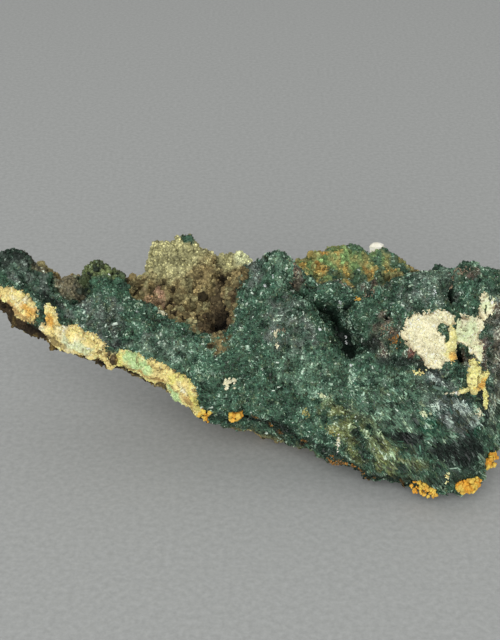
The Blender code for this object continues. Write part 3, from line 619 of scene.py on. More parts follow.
rings, spokes = rock_grid.shape[:2]
number = np.arange(rings * spokes).reshape(rings, spokes)
before = np.roll(number, 1, axis=1)
quads = np.stack([number[:-1], before[:-1], before[1:], number[1:]], -1)
left_fan = np.stack([before[0], number[0], np.full(spokes, number.size)], -1)
right_fan = np.stack([number[-1], before[-1], np.full(spokes, number.size + 1)], -1)
tips = np.insert(rock_grid[[0, -1], :, 1:].mean(axis=1), 0, (LEFT_END, RIGHT_END), axis=1)
rock_mesh = new_mesh(
    "rock_surface",
    np.concatenate([rock_grid.reshape(-1, 3), tips]),
    np.concatenate([quads.ravel(), left_fan.ravel(), right_fan.ravel()]),
    np.concatenate([np.full(quads[..., 0].size, 4), np.full(2 * spokes, 3)]),
)
end_colours = rock_colour[[0, -1]].mean(axis=1)
paint(rock_mesh, "zone", np.concatenate([rock_colour.reshape(-1, 3), end_colours]))
paint(rock_mesh, "greenness", np.append(green.ravel(), (1.0, 0.5)))

# Grid squares on the bake map: one column for each step round the ring and one row for each ring.
k, i = np.arange(spokes), np.arange(rings - 1)[:, None]
column = np.stack([k + 1, k, k, k + 1], -1)[None] * np.ones((rings - 1, 1, 1))
row = np.stack([i, i, i + 1, i + 1], -1) * np.ones((1, spokes, 1)) + 1
fan_u = np.stack([k, k + 1, k + 0.5], -1)
fan_v = np.array((1, 1, 0)) * np.ones((spokes, 1))
map_u = np.concatenate([column.ravel(), fan_u.ravel(), fan_u[:, (1, 0, 2)].ravel()]) / spokes
map_v = np.concatenate([row.ravel(), fan_v.ravel(), (rings + 1 - fan_v).ravel()]) / (rings + 1)
bake_map(rock_mesh, np.stack([map_u, map_v], -1))

rock_finish, shader, add, join = new_finish("green_rock")
zone = add("ShaderNodeAttribute", attribute_name="zone")
greenness = add("ShaderNodeAttribute", attribute_name="greenness")
grain = noise_on(add, join, 2600, 5, 0.65)
flecks = noise_on(add, join, 5200, 2, 0.5)
grainy = shaded_by(add, join, zone.outputs["Color"], grain, 0.3, 0.72, 0.35, 1.75)
flecked = shaded_by(add, join, grainy, flecks, 0.62, 0.74, 1.0, 2.4)
join(flecked, shader.inputs["Base Color"])
dull = add("ShaderNodeMapRange", **{"To Min": 0.85, "To Max": 0.42})
join(greenness.outputs["Fac"], dull.inputs["Value"])
join(dull.outputs["Result"], shader.inputs["Roughness"])
pitted_by(add, join, shader, grain, 0.9, 0.00012)
shader.inputs["Specular IOR Level"].default_value = 0.2
add_piece("rock_surface", rock_mesh, rock_finish, ("rock",), smooth=True)

# The green crystals.
# A felt of vandenbrandeite blades, each a few tenths of a millimetre long, that grew outward from the rock
# over its front, its ridge and its arm. They are rooted in the rock and lean every way, and low on the
# right of the front they run in one direction, down towards the thick end.

# A blade's length in millimetres, its width as a share of that and its thickness as a share of the width.
# Then how far out of the surface it leans at most and how it rolls about itself, in degrees, how deep it is
# sunk, how far the silk strays from its fall, the colour of the painted highlight on the lightest blades, and
# the share of blades painted as sparks and made larger.
BLADES_A_PIECE, BLADE_PIECES = 20000, 4
BLADE_LENGTH, BLADE_WIDTH, BLADE_THICKNESS = 0.215, 0.46, 0.5
MOST_LEAN, ROLL, SUNK, STRAY = 45, 32, 0.03, 0.2
GLINT, SPARKS, BLADE_SEED = (0.540, 0.640, 0.530), 0.008, 20

# A blade's six corners: along its length, across it and up, then its three quads and two end triangles, and
# where the corners of those lie on the blade's own square of the bake map.
BLADE_CORNERS = np.array(
    ((-0.5, -0.5, 0), (0.5, -0.5, 0), (0.5, 0.5, 0), (-0.5, 0.5, 0), (-0.3, 0, 1), (0.34, 0, 1)), float
)
# Painted shade and highlight on each corner: darker at the blade's root, lighter along its ridge.
BLADE_PAINTED_LIGHT = np.array((0.5, 0.6, 0.6, 0.5, 1.15, 1.4))
BLADE_FACES = np.array((0, 3, 2, 1, 0, 1, 5, 4, 2, 3, 4, 5, 1, 2, 5, 3, 0, 4))
BLADE_SIZES = np.array((4, 4, 4, 3, 3))
BLADE_MAP = np.array(
    (
        (0.05, 0.05), (0.05, 0.30), (0.95, 0.30), (0.95, 0.05), (0.05, 0.35), (0.95, 0.35), (0.75, 0.60),
        (0.25, 0.60), (0.95, 0.65), (0.05, 0.65), (0.25, 0.90), (0.75, 0.90), (0.02, 0.92), (0.20, 0.92),
        (0.11, 0.99), (0.52, 0.92), (0.70, 0.92), (0.61, 0.99),
    )
)


def unit(vectors):
    """The vectors at a length of one."""
    return vectors / np.linalg.norm(vectors, axis=-1, keepdims=True)


def strewn(weight, count, random):
    """Points strewn over the rock's squares by area times weight: their square and where in it they lie."""
    side = np.linalg.norm(np.diff(rock_grid, axis=0), axis=-1)
    round_it = np.linalg.norm(np.roll(rock_grid, -1, axis=1) - rock_grid, axis=-1)[:-1]
    chance = (side * round_it * weight[:-1]).ravel()
    square = random.choice(chance.size, size=count, p=chance / chance.sum())
    return square // spokes, square % spokes, random.random((2, count, 1))


def on_square(values, i, k, part):
    """The grid's values inside the squares (i, k), blended from each square's four corners."""
    after = (k + 1) % spokes
    near = values[i, k] * (1 - part[1]) + values[i, after] * part[1]
    far = values[i + 1, k] * (1 - part[1]) + values[i + 1, after] * part[1]
    return near * (1 - part[0]) + far * part[0]


def map_cells(mesh, pattern, count):
    """The bake map of like pieces joined in one mesh: a square of squares, one for each, all cut alike."""
    cells = int(np.ceil(np.sqrt(count)))
    cell = np.stack([np.arange(count) % cells, np.arange(count) // cells], -1)[:, None]
    bake_map(mesh, (cell + pattern) / cells)


FLOOR_GAP = 0.02


def wedges(name, middle, axes):
    """Little wedges as one mesh, each spanned from its middle by its long, its wide and its high edge."""
    points = middle[:, None] + np.einsum("pc,nca->npa", BLADE_CORNERS, axes)
    points[..., 2] = np.maximum(points[..., 2], FLOOR_GAP)
    mesh = new_mesh(
        name,
        points.reshape(-1, 3),
        (BLADE_FACES + len(BLADE_CORNERS) * np.arange(len(middle))[:, None]).ravel(),
        np.tile(BLADE_SIZES, len(middle)),
    )
    map_cells(mesh, BLADE_MAP, len(middle))
    return mesh


def blades(name, weight, count, seed):
    """Blades as one mesh: a strewn point, a turn in the surface, a lean out of it and a roll about itself."""
    random = np.random.default_rng(seed)
    i, k, part = strewn(weight, count, random)
    foot = on_square(rock_grid, i, k, part)
    normal = unit(on_square(rock_normals, i, k, part))
    along = unit(np.cross(np.roll(rock_grid, -1, axis=1)[i, k] - rock_grid[i, k], normal))
    across = np.cross(normal, along)
    aligned = silk[i, k]
    turn = random.uniform(-np.pi, np.pi, count)
    in_line = random.random(count) < 0.9 * aligned
    turn = np.where(in_line, random.normal(-SILK_FALL, STRAY, count), turn)[:, None]
    lean = np.radians(random.uniform(0, MOST_LEAN, count) * (1 - 0.7 * aligned))[:, None]
    roll = np.radians(random.normal(0, ROLL, count))[:, None]
    flat = np.cos(turn) * along + np.sin(turn) * across
    long_way = np.cos(lean) * flat + np.sin(lean) * normal
    up = np.cos(lean) * normal - np.sin(lean) * flat
    wide = np.cross(up, long_way)
    up, wide = np.cos(roll) * up + np.sin(roll) * wide, np.cos(roll) * wide - np.sin(roll) * up
    length = BLADE_LENGTH * np.exp(random.normal(0, 0.33, (count, 1))) * (1 + 1.1 * aligned[:, None])
    width = length * BLADE_WIDTH * np.exp(random.normal(0, 0.28, (count, 1))) * (1 - 0.6 * aligned[:, None])
    spark = random.random(count) < SPARKS
    length, width = (size * np.where(spark, 1.25 - 0.6 * aligned, 1)[:, None] for size in (length, width))
    middle = foot + long_way * length * 0.26 - normal * SUNK
    edges = np.stack([long_way * length, wide * width, up * width * BLADE_THICKNESS], axis=1)
    mesh = wedges(name, middle, edges)
    cluster, fleck, speck = (soft_noise(foot, wave) for wave in (2.7, 0.9, 0.4))
    light = 0.75 * cluster + 0.9 * fleck + 0.9 * speck * (1 - aligned) + 1.1 * silky(foot) * aligned
    broad = soft_noise(foot + 90, 1.4)
    light += 0.35 * ramp(broad, 0.15, 0.6) - 0.75 * ramp(-broad, 0.15, 0.6) + random.normal(0, 0.55, count)
    # Painted highlight: the lightest blades and the sparks are mixed towards the glint colour, less in
    # painted shade.
    glint = np.maximum(0.85 * ramp(light, 0.45, 2.1), spark) * (1 - 0.8 * np.clip(dark[i, k], 0, 1))
    tint = 1.2 * soft_noise(foot + 30, 0.8) + random.normal(0, 0.35, count)
    grey = soft_noise(foot + 60, 0.6) + random.normal(0, 0.4, count)
    lit = 1 - dark[i, k]
    colour = layered(
        hue[i, k],
        (MOSS, 0.5 * ramp(tint, 0.1, 0.9) * lit),
        (TEAL, 0.4 * ramp(-tint, 0.1, 0.9) * lit),
        (ASHEN, 0.35 * ramp(grey, 0.1, 0.8) * lit),
    )
    colour = layered(colour * np.exp(light - 0.2)[:, None], (GLINT, glint))
    paint(mesh, "zone", colour[:, None] * BLADE_PAINTED_LIGHT[:, None])
    return mesh


blade_finish, shader, add, join = new_finish("green_crystal")
zone = add("ShaderNodeAttribute", attribute_name="zone")
cloud = noise_on(add, join, 5200, 3, 0.6)
join(shaded_by(add, join, zone.outputs["Color"], cloud, 0.3, 0.7, 0.6, 1.4), shader.inputs["Base Color"])
shader.inputs["Roughness"].default_value = 0.3
shader.inputs["Specular IOR Level"].default_value = 0.25

# The felt stops at the crusts. A few ovals span each crust, waves of these shares and sizes make its outline
# ragged, and some crusts have holes through them.
CRUST_SHAPES = {
    "yellow_crust_tip": ((-27.4, 0.74, 2.7, 0.44), (-25.2, 0.66, 1.6, 0.42)),
    "yellow_crust_arm": (
        (-21.4, 0.3, 1.9, 0.3), (-21.9, 0.62, 0.7, 0.34), (-18.5, 0.34, 2.9, 0.38), (-18.2, 0.0, 3.0, 0.2),
    ),
    "yellow_crust_edge": (
        (-12.7, 0.42, 1.7, 0.3), (-9.9, 0.42, 2.9, 0.32), (-7.4, 0.32, 1.5, 0.36), (-11.4, 0.02, 3.6, 0.18),
        (-8.2, -0.06, 1.5, 0.26), (-6.6, -0.02, 1.1, 0.14),
    ),
    "cream_crust": (
        (18.6, 1.45, 2.0, 0.17), (20.1, 1.32, 1.9, 0.2), (20.8, 1.41, 1.6, 0.2), (21.8, 1.31, 0.7, 0.17),
    ),
    "cream_crust_side": (
        (24.0, 1.41, 1.6, 0.115), (26.0, 1.6, 0.8, 0.14), (24.7, 1.3, 0.6, 0.1), (25.1, 1.18, 0.35, 0.1),
    ),
    "yellow_crust_right": (
        (24.3, 1.03, 0.7, 0.11), (24.95, 0.9, 0.85, 0.07), (23.1, 0.9, 0.7, 0.022), (25.45, 0.75, 0.22, 0.1),
    ),
}
CRUST_RAGS = ((0.45, 1.5), (0.32, 0.6), (0.28, 0.3), (0.16, 0.15))
CRUST_HOLES = {
    "cream_crust": ((21.0, 1.43, 0.65, 0.07), (21.5, 1.36, 0.3, 0.05)),
    "yellow_crust_edge": ((-10.6, 0.44, 0.6, 0.08), (-8.9, 0.12, 0.35, 0.06)),
    "yellow_crust_right": ((24.75, 0.97, 0.25, 0.025),),
    "cream_crust_side": ((25.9, 1.56, 0.2, 0.05), (26.4, 1.68, 0.2, 0.05)),
}


def crust_cover(name, at_x, at_place, foot):
    """How far inside a crust's outline each point is: the most of its ovals, ragged, less its holes."""
    ragged = np.max([inside(oval, at_x, at_place) for oval in CRUST_SHAPES[name]], axis=0)
    ragged = ragged + sum(share * soft_noise(foot, wave) for share, wave in CRUST_RAGS)
    for hole in CRUST_HOLES.get(name, ()):
        ragged -= 1.6 * np.exp(-((1 - inside(hole, at_x, at_place)) ** 2))
    return ragged


crusted = np.max([crust_cover(name, station, place, bare) for name in CRUST_SHAPES], axis=0)
rests = ramp(rock_grid[..., 2], 0.15, 0.5)
front = ramp(2.6 - place, 0, 0.4) + ramp(place, 7.4, 7.8)
felted = (0.5 + 0.5 * front) * green * rests * ramp(-crusted, -0.1, 0.1) * (1 - 0.6 * arm_top) * (1 - cleft)
for name, outline in SEATS.items():
    if name.endswith("_grain") or name.startswith("ochre"):
        felted *= 1 - ramp(inside(outline[:4], station, place), -0.3, 0.2)
for number in range(BLADE_PIECES):
    name = f"green_crystals_{number + 1}"
    mesh = blades(name, felted, BLADES_A_PIECE, BLADE_SEED + number)
    add_piece(name, mesh, blade_finish)

# The granules of the host rock.
# Rough little grains that the brown and olive rock breaks into where no felt covers it: in the valley, on
# the back knob and mound, over the back and on the knobs of the arm. They are one with the rock under them.

GRAINS_A_PIECE, GRAIN_PIECES, GRAIN_SIZE, GRAIN_SEED = 6000, 2, 0.17, 40

# A grain is a ball of twelve points: two poles and two rings of five, the second turned by half a step.
fifth = np.arange(5)
turns = np.concatenate([fifth, fifth + 0.5]) / 5 * 2 * np.pi
levels = np.repeat((0.447, -0.447), 5)
BALL = np.stack([np.cos(turns) * 0.894, np.sin(turns) * 0.894, levels], -1)
BALL = np.concatenate([BALL, ((0, 0, 1), (0, 0, -1))])
next_fifth = (fifth + 1) % 5
BALL_FACES = np.concatenate(
    [
        np.stack([np.full(5, 10), fifth, next_fifth], -1),
        np.stack([fifth, fifth + 5, next_fifth], -1),
        np.stack([next_fifth, fifth + 5, next_fifth + 5], -1),
        np.stack([np.full(5, 11), next_fifth + 5, fifth + 5], -1),
    ]
)
slot_at = np.stack([np.arange(20) % 5, np.arange(20) // 5], -1)[:, None]
BALL_MAP = ((slot_at + ((0.08, 0.08), (0.92, 0.08), (0.5, 0.92))) / (5, 4)).reshape(-1, 2)


def turned_axes(count, random):
    """Axes turned every way: the square part of random matrices, with the mirrored ones turned back."""
    turned = np.linalg.qr(random.normal(size=(count, 3, 3)))[0]
    return turned * np.sign(np.linalg.det(turned))[:, None, None]


def balls(name, centres, sizes, random):
    """Rough grains as one mesh: the twelve-pointed ball, each squashed, turned and dented its own way."""
    count = len(centres)
    turned = turned_axes(count, random)
    shape = BALL * random.uniform(0.65, 1.2, (count, 1, 3)) * random.uniform(0.8, 1.2, (count, 12, 1))
    points = centres[:, None] + np.einsum("npc,nca->npa", shape, turned) * sizes[:, None, None]
    points[..., 2] = np.maximum(points[..., 2], FLOOR_GAP)
    corners = BALL_FACES.ravel() + len(BALL) * np.arange(count)[:, None]
    mesh = new_mesh(name, points.reshape(-1, 3), corners.ravel(), np.full(len(BALL_FACES) * count, 3))
    map_cells(mesh, BALL_MAP, count)
    return mesh


bare_host = ((1 - green) * (0.3 + 0.7 * ramp(4.9 - place, 0, 0.5) * (place > 1.5)) + 0.9 * arm_top) * rests
bare_host *= ramp(-crusted, -0.05, 0.15)
for number in range(GRAIN_PIECES):
    name = f"host_grains_{number + 1}"
    random = np.random.default_rng(GRAIN_SEED + number)
    i, k, part = strewn(bare_host, GRAINS_A_PIECE, random)
    sizes = GRAIN_SIZE * np.exp(random.normal(0, 0.4, GRAINS_A_PIECE))
    normal = unit(on_square(rock_normals, i, k, part))
    centres = on_square(rock_grid, i, k, part) + normal * sizes[:, None] * 0.25
    mesh = balls(name, centres, sizes, random)
    shade = np.exp(random.normal(0.05, 0.3, GRAINS_A_PIECE))[:, None]
    paint(mesh, "zone", np.repeat(rock_colour[i, k] * shade, len(BALL), axis=0))
    paint(mesh, "greenness", np.repeat(green[i, k], len(BALL)))
    add_piece(name, mesh, rock_finish)

# The yellow and the cream crusts.
# Soft earthy uranium minerals, cream, sulphur yellow and pale green, that fill a vein along the lower left
# edge and broke out over the right of the front. Each is a thin broken layer grown fast onto the rock.

# How far apart a crust's points are, how deep its lower sheet lies in the rock, and how far round the middles
# of its ovals it is worked out, in their half lengths and half widths.
CRUST_SPACING, CRUST_ROOT, CRUST_REACH = 0.062, 0.5, 1.4


def read_rock(values, at_x, at_place):
    """The fine grid's values at stations and places between its points, blended from the four around each."""
    i = np.interp(at_x, x, np.arange(rings))
    k = np.interp(at_place % len(LINES), np.append(places, len(LINES)), np.arange(spokes + 1))
    near_i, near_k = np.minimum(i.astype(int), rings - 2), k.astype(int) % spokes
    return on_square(values, near_i, near_k, np.stack([i - near_i, k - k.astype(int)])[..., None])


def surface_at(at_x, at_place):
    """Where the rock's surface lies at each station and place, and which way is out of it there."""
    return read_rock(rock_grid, at_x, at_place), unit(read_rock(rock_normals, at_x, at_place))


def crust_top(name, at_x, at_place):
    """A crust's upper face: where the rock lies with no relief and with it, which way is out, how far inside
    the ragged outline the point is, the height of the fine granules and the height of the face over the rock.
    """
    foot, normal = surface_at(at_x, at_place)
    flat = read_rock(bare, at_x, at_place)
    cover = crust_cover(name, at_x, at_place, flat)
    granule = 0.13 * (lumps(flat, 0.55) - 0.7) + 0.15 * (lumps(flat, 0.3) - 0.7)
    granule += 0.12 * soft_noise(flat, 1.1) + 0.07 * soft_noise(flat, 0.2)
    rise = 0.12 + 0.55 * read_rock(seat[..., None], at_x, at_place)[..., 0]
    high = (rise + granule) * ramp(cover, -0.06, 0.08) - 0.3 * ramp(-cover, -0.04, 0.02)
    return flat, foot, normal, cover, granule, high


def crust(name):
    """A broken layer over the part of the rock that a crust's ovals span, as a closed slab of two sheets.

    The upper sheet stands above the rock where the ragged outline covers it and dives below it elsewhere,
    and fine granules are raised on it. The lower sheet lies deeper in the rock and closes it.
    """
    middle, level, half_length, half_width = np.array(CRUST_SHAPES[name]).T
    long, wide = CRUST_REACH * half_length, CRUST_REACH * half_width
    low_x, high_x = max((middle - long).min(), LEFT_END + 0.1), (middle + long).max()
    low_place, high_place = (level - wide).min(), (level + wide).max()
    a, b = read_rock(bare, np.full(2, (low_x + high_x) / 2), np.array((low_place, high_place)))
    columns = round((high_x - low_x) / CRUST_SPACING)
    rows = round(np.linalg.norm(b - a) * 1.15 / CRUST_SPACING)
    at_x, at_place = np.meshgrid(
        np.linspace(low_x, high_x, columns), np.linspace(low_place, high_place, rows), indexing="ij"
    )
    flat, foot, normal, cover, granule, high = crust_top(name, at_x, at_place)
    top = foot + normal * high[..., None]
    low = foot - normal * CRUST_ROOT
    top[..., 2] = np.maximum(top[..., 2], 0.05)
    low[..., 2] = np.maximum(low[..., 2], FLOOR_GAP)
    number = np.arange(columns * rows).reshape(columns, rows)
    upper = np.stack([number[:-1, :-1], number[1:, :-1], number[1:, 1:], number[:-1, 1:]], -1).reshape(-1, 4)
    lower = upper[:, ::-1] + columns * rows
    edge = np.concatenate([number[:-1, 0], number[-1, :-1], number[:0:-1, -1], number[0, :0:-1]])
    ahead = np.roll(edge, -1)
    wall = np.stack([edge, edge + columns * rows, ahead + columns * rows, ahead], -1)
    corners = np.concatenate([upper, lower, wall])
    points = np.concatenate([top.reshape(-1, 3), low.reshape(-1, 3)])
    mesh = new_mesh(name, points, corners.ravel(), np.full(len(corners), 4))
    s, t = at_x.ravel() - low_x, at_place.ravel() - low_place
    flat_map = np.stack([s / (high_x - low_x), t / (high_place - low_place)], -1) * (0.96, 0.46) + 0.02
    both = np.concatenate([flat_map, flat_map + (0, 0.5)])
    bake_map(mesh, both[corners.ravel()])
    each_point = [np.tile(values.ravel(), 2) for values in (at_x, at_place, cover, granule)]
    return mesh, np.tile(flat.reshape(-1, 3), (2, 1)), *each_point


CREAM_YELLOW, SULPHUR, PALE_CREAM = (0.900, 0.750, 0.310), (0.740, 0.700, 0.210), (0.850, 0.800, 0.545)
APPLE_GREEN, FROSTY_GREEN = (0.500, 0.740, 0.360), (0.720, 0.800, 0.500)
TAN, ORANGE, SEAM_BROWN = (0.430, 0.270, 0.090), (0.820, 0.460, 0.080), (0.130, 0.075, 0.025)
UMBER, LEMON = (0.200, 0.140, 0.040), (0.880, 0.820, 0.340)

# Each crust's main colour and the colour of its mottling, then its patches: colour, middle x, middle place,
# half length and half width.
CRUST_COLOURS = {
    "yellow_crust_tip": (
        CREAM_YELLOW, PALE_CREAM, (ORANGE, -24.1, 0.58, 0.9, 0.18), (TAN, -26.5, 0.34, 3.0, 0.1),
    ),
    "yellow_crust_arm": (
        CREAM_YELLOW, PALE_CREAM, (ORANGE, -22.1, 0.6, 0.5, 0.2), (FROSTY_GREEN, -18.8, 0.26, 1.9, 0.13),
        (UMBER, -16.6, 0.16, 0.8, 0.13), (UMBER, -21.6, 0.16, 1.3, 0.09),
    ),
    "yellow_crust_edge": (
        CREAM_YELLOW, SULPHUR, (UMBER, -10.5, 0.46, 1.1, 0.12), (APPLE_GREEN, -12.3, 0.38, 1.6, 0.4),
        (APPLE_GREEN, -8.4, -0.12, 0.9, 0.2), (TAN, -11.5, 0.02, 3.0, 0.07),
        (PALE_CREAM, -7.4, 0.4, 0.6, 0.14), (UMBER, -8.9, 0.12, 0.6, 0.08), (TAN, -7.0, 0.1, 0.7, 0.16),
    ),
    "yellow_crust_right": (LEMON, SULPHUR, (ORANGE, 25.2, 0.87, 0.9, 0.05)),
    "cream_crust": (
        PALE_CREAM, PALE_CREAM, (LEMON, 22.0, 1.3, 0.6, 0.15), (ORANGE, 22.1, 1.2, 0.4, 0.05),
    ),
    "cream_crust_side": (
        PALE_CREAM, FROSTY_GREEN, (FROSTY_GREEN, 23.4, 1.42, 1.4, 0.1), (FROSTY_GREEN, 26.2, 1.62, 0.7, 0.1),
    ),
}


def earthy_finish(name, roughness, grit):
    """A dull earthy material: its painted colour, made lighter and darker by fine noise, and pitted by it."""
    material, shader, add, join = new_finish(name)
    zone = add("ShaderNodeAttribute", attribute_name="zone")
    grain = noise_on(add, join, 4500, 4, 0.6)
    colour = shaded_by(add, join, zone.outputs["Color"], grain, 0.3, 0.7, 1 - grit, 1 + 0.35 * grit)
    join(colour, shader.inputs["Base Color"])
    pitted_by(add, join, shader, grain, 0.7, 0.00008)
    shader.inputs["Roughness"].default_value = roughness
    return material


finishes = {
    "yellow_crust": earthy_finish("yellow_crust", 0.85, 0.35),
    "cream_crust": earthy_finish("cream_crust", 0.9, 0.18),
}


def crust_colour(name, points, at_x, at_place, cover, granule):
    """A crust's colour at each point: its two main colours, patches, dark flecks, brown edge and painted
    shade.
    """
    main, second, *patches = CRUST_COLOURS[name]
    broad, near, speck, dust = (soft_noise(points, wave) for wave in (1.9, 0.8, 0.35, 0.18))
    colour = layered(main, (second, ramp(broad + 0.7 * near + 0.4 * speck, -0.2, 0.8)))
    for shade, *oval in patches:
        ragged = inside(oval, at_x, at_place) + 0.8 * near + 0.5 * speck + 0.3 * dust
        colour = layered(colour, (shade, ramp(ragged, -0.5, 0.8) * 0.85))
    flecks = ramp(-speck - 0.6 * dust - 0.3 * near, 0.25, 0.8) * (0.3 if name == "cream_crust" else 0.75)
    colour = layered(colour, (SEAM_BROWN, flecks), (TAN, ramp(0.2 - cover, 0, 0.25) * 0.5))
    # Painted shade and light: darker where the fine granules sink, a little lighter where they rise.
    return colour * (0.7 + 0.42 * ramp(granule, -0.2, 0.14))[..., None]


# The crumbs that each crust's face is broken into: how many, and their size in millimetres.
CRUMBS = {
    "yellow_crust_tip": 1300, "yellow_crust_arm": 1700, "yellow_crust_edge": 2200, "cream_crust": 2600,
    "cream_crust_side": 1000, "yellow_crust_right": 600,
}
CRUMB_SIZE, CRUMB_LIGHTEST, CRUMB_SEED = 0.15, 0.92, 80


def crumb_edges(count, middle_size, size_spread, shape, random):
    """The long, wide and high edges of crumbs turned every way, their sizes spread about a middle one."""
    sizes = CRUMB_SIZE * np.exp(random.normal(middle_size, size_spread, (count, 1, 1)))
    return turned_axes(count, random) * sizes * np.array(shape)[:, None]


def add_crumbs(name, middle, edges, colour, slot):
    """Puts crumbs in the scene as one piece, each a wedge in one colour."""
    mesh = wedges(name, middle, edges)
    paint(mesh, "zone", np.repeat(np.clip(colour, 0, CRUMB_LIGHTEST), len(BLADE_CORNERS), axis=0))
    add_piece(name, mesh, finishes[slot])


for seed, (name, count) in enumerate(CRUMBS.items()):
    mesh, flat, *rest = crust(name)
    slot = "cream_crust" if name.startswith("cream") else "yellow_crust"
    paint(mesh, "zone", crust_colour(name, flat, *rest))
    add_piece(f"{name}_layer", mesh, finishes[slot], (name,), smooth=True)
    random = np.random.default_rng(CRUMB_SEED + seed)
    i, k, part = strewn(ramp(crust_cover(name, station, place, bare), -0.15, 0.1), count, random)
    at_x = on_square(station[..., None], i, k, part)[:, 0]
    at_place = places[k] + part[1][:, 0] * np.diff(places, append=len(LINES))[k]
    flat, foot, normal, cover, granule, high = crust_top(name, at_x, at_place)
    edges = crumb_edges(count, 0, 0.35, (1.3, 0.7, 0.5), random)
    middle = foot + normal * (np.maximum(high, 0.08) - 0.02)[:, None]
    shade = np.exp(random.normal(0.08, 0.22, count))[:, None]
    colour = crust_colour(name, flat, at_x, at_place, np.maximum(cover, 0.1), granule) * shade
    add_crumbs(f"{name}_crumbs", middle, edges, colour, slot)

# The flecks in the green.
# Specks of the same cream, ochre and brown minerals, and a few near-white specks painted as glints off
# crystal faces, a few crumbs each, caught here and there in the green felt and grown fast to it.

# The first colour is the near-white painted on the glinting specks.
PAINTED_GLINT, AMBER = (0.800, 0.880, 0.840), (0.330, 0.160, 0.035)
BUFF, OLIVE_YELLOW = (0.290, 0.225, 0.145), (0.400, 0.380, 0.130)

# The flecks of each colour in turn: middle x, middle place, half length, half width and how many crumbs.
FLECKS = (
    (PALE_CREAM, (2.8, 1.23, 0.28, 0.03, 24), (3.0, 1.13, 0.18, 0.03, 12)),
    (BUFF, (3.4, 1.28, 0.4, 0.03, 12)),
    (FROSTY_GREEN, (7.8, 0.69, 0.35, 0.02, 26), (18.9, 0.73, 0.6, 0.015, 30)),
    (PALE_CREAM, (9.6, 0.22, 0.12, 0.09, 40), (-9.8, 2.27, 0.35, 0.1, 40)),
    (ORANGE, (11.9, 1.84, 0.25, 0.03, 12)),
    (BUFF, (13.3, 2.05, 0.6, 0.1, 26)),
    (AMBER, (15.6, 1.38, 0.5, 0.04, 24)),
    (BUFF, (14.8, 1.5, 0.8, 0.06, 26), (5.4, 2.0, 0.7, 0.04, 24)),
    (CREAM_YELLOW, (18.2, 1.08, 0.5, 0.02, 24)),
    (BUFF, (23.2, 2.05, 0.9, 0.06, 40)),
    (PALE_CREAM, (24.6, 0.68, 0.2, 0.035, 26)),
    (CREAM_YELLOW, (21.2, 0.25, 0.2, 0.05, 16)),
    (OLIVE_YELLOW, (8.8, 0.33, 0.5, 0.05, 26), (6.1, 0.42, 0.3, 0.05, 20)),
    (AMBER, (9.4, 7.97, 0.8, 0.05, 40), (11.5, 7.97, 1.1, 0.06, 60)),
    (PALE_CREAM, (22.2, 0.88, 0.7, 0.012, 24)),
    (
        PAINTED_GLINT, (10.1, 1.85, 0.10, 0.02, 5), (10.7, 1.37, 0.10, 0.02, 6), (10.9, 1.46, 0.08, 0.02, 4),
        (20.3, 1.77, 0.12, 0.02, 6), (27.9, 2.43, 0.12, 0.03, 5), (11.1, 1.10, 0.08, 0.02, 4),
        (2.6, 1.75, 0.10, 0.02, 5), (1.7, 1.67, 0.10, 0.02, 5), (7.6, 1.42, 0.10, 0.02, 5),
        (-3.1, 3.28, 0.08, 0.02, 4), (-12.5, 1.79, 0.12, 0.02, 4), (-15.6, 1.87, 0.08, 0.02, 3),
    ),
)
FLECK_SPREAD, FLECK_RISE, FLECK_SEED = 0.6, 0.1, 99

random = np.random.default_rng(FLECK_SEED)
flecks = [(*colour, *fleck) for colour, *group in FLECKS for fleck in group]
table = np.repeat(flecks, [fleck[-1] for fleck in flecks], axis=0)
count = len(table)
at_x = table[:, 3] + table[:, 5] * random.normal(0, FLECK_SPREAD, count)
at_place = table[:, 4] + table[:, 6] * random.normal(0, FLECK_SPREAD, count)
edges = crumb_edges(count, 0.1, 0.3, (1.3, 0.7, 0.6), random)
foot, normal = surface_at(at_x, at_place)
middle = foot + FLECK_RISE * normal
shade = np.exp(random.normal(-0.05, 0.25, count))[:, None]
add_crumbs("fleck_crumbs", middle, edges, table[:, :3] * shade, "yellow_crust")

# The ochre grains and the cream grain.
# Little clusters of rounded grains of iron-stained and of cream-coloured minerals, each cluster seated in a
# hollow of the rock along its lower front edge.

# How many grains there are in the cluster of each seat.
CLUSTERS = {
    "ochre_grain_1": 40, "ochre_grain_2": 44, "ochre_grain_3": 90, "ochre_grain_4": 110, "ochre_grain_5": 60,
    "cream_grain": 40,
}
ORANGE_OCHRE, YELLOW_OCHRE = (0.760, 0.360, 0.030), (0.780, 0.540, 0.090)
CLUSTER_LIGHTEST, CLUSTER_SEED = 0.9, 60
finishes["ochre"] = earthy_finish("ochre", 0.7, 0.3)

for seed, (name, count) in enumerate(CLUSTERS.items()):
    middle, level, half_length, half_width, rise = SEATS[name]
    random = np.random.default_rng(CLUSTER_SEED + seed)
    turn = random.uniform(-np.pi, np.pi, count)
    out = np.sqrt(random.random(count))
    at_x = middle + half_length * out * np.cos(turn)
    at_place = level - 0.05 + half_width * out * np.sin(turn)
    foot, normal = surface_at(at_x, at_place)
    sizes = rise * random.uniform(0.2, 0.42, count)
    centres = foot + normal * (0.3 + (rise * 0.9 * (1 - out**2) * random.random(count)))[:, None]
    mesh = balls(name, centres, sizes, random)
    slot, colour = "cream_crust", np.array(PALE_CREAM)
    if name != "cream_grain":
        orange = ramp(soft_noise(centres, 0.7), -0.3, 0.3)
        slot, colour = "ochre", layered(YELLOW_OCHRE, (ORANGE_OCHRE, orange))
    shade = np.exp(random.normal(0, 0.12, count))[:, None]
    paint(mesh, "zone", np.repeat(np.clip(colour * shade, 0, CLUSTER_LIGHTEST), len(BALL), axis=0))
    add_piece(f"{name}_cluster", mesh, finishes[slot], (name,))

# The white crystal.
# One small milky crystal with flat faces, perched on the back mound at the skyline and grown fast to it.

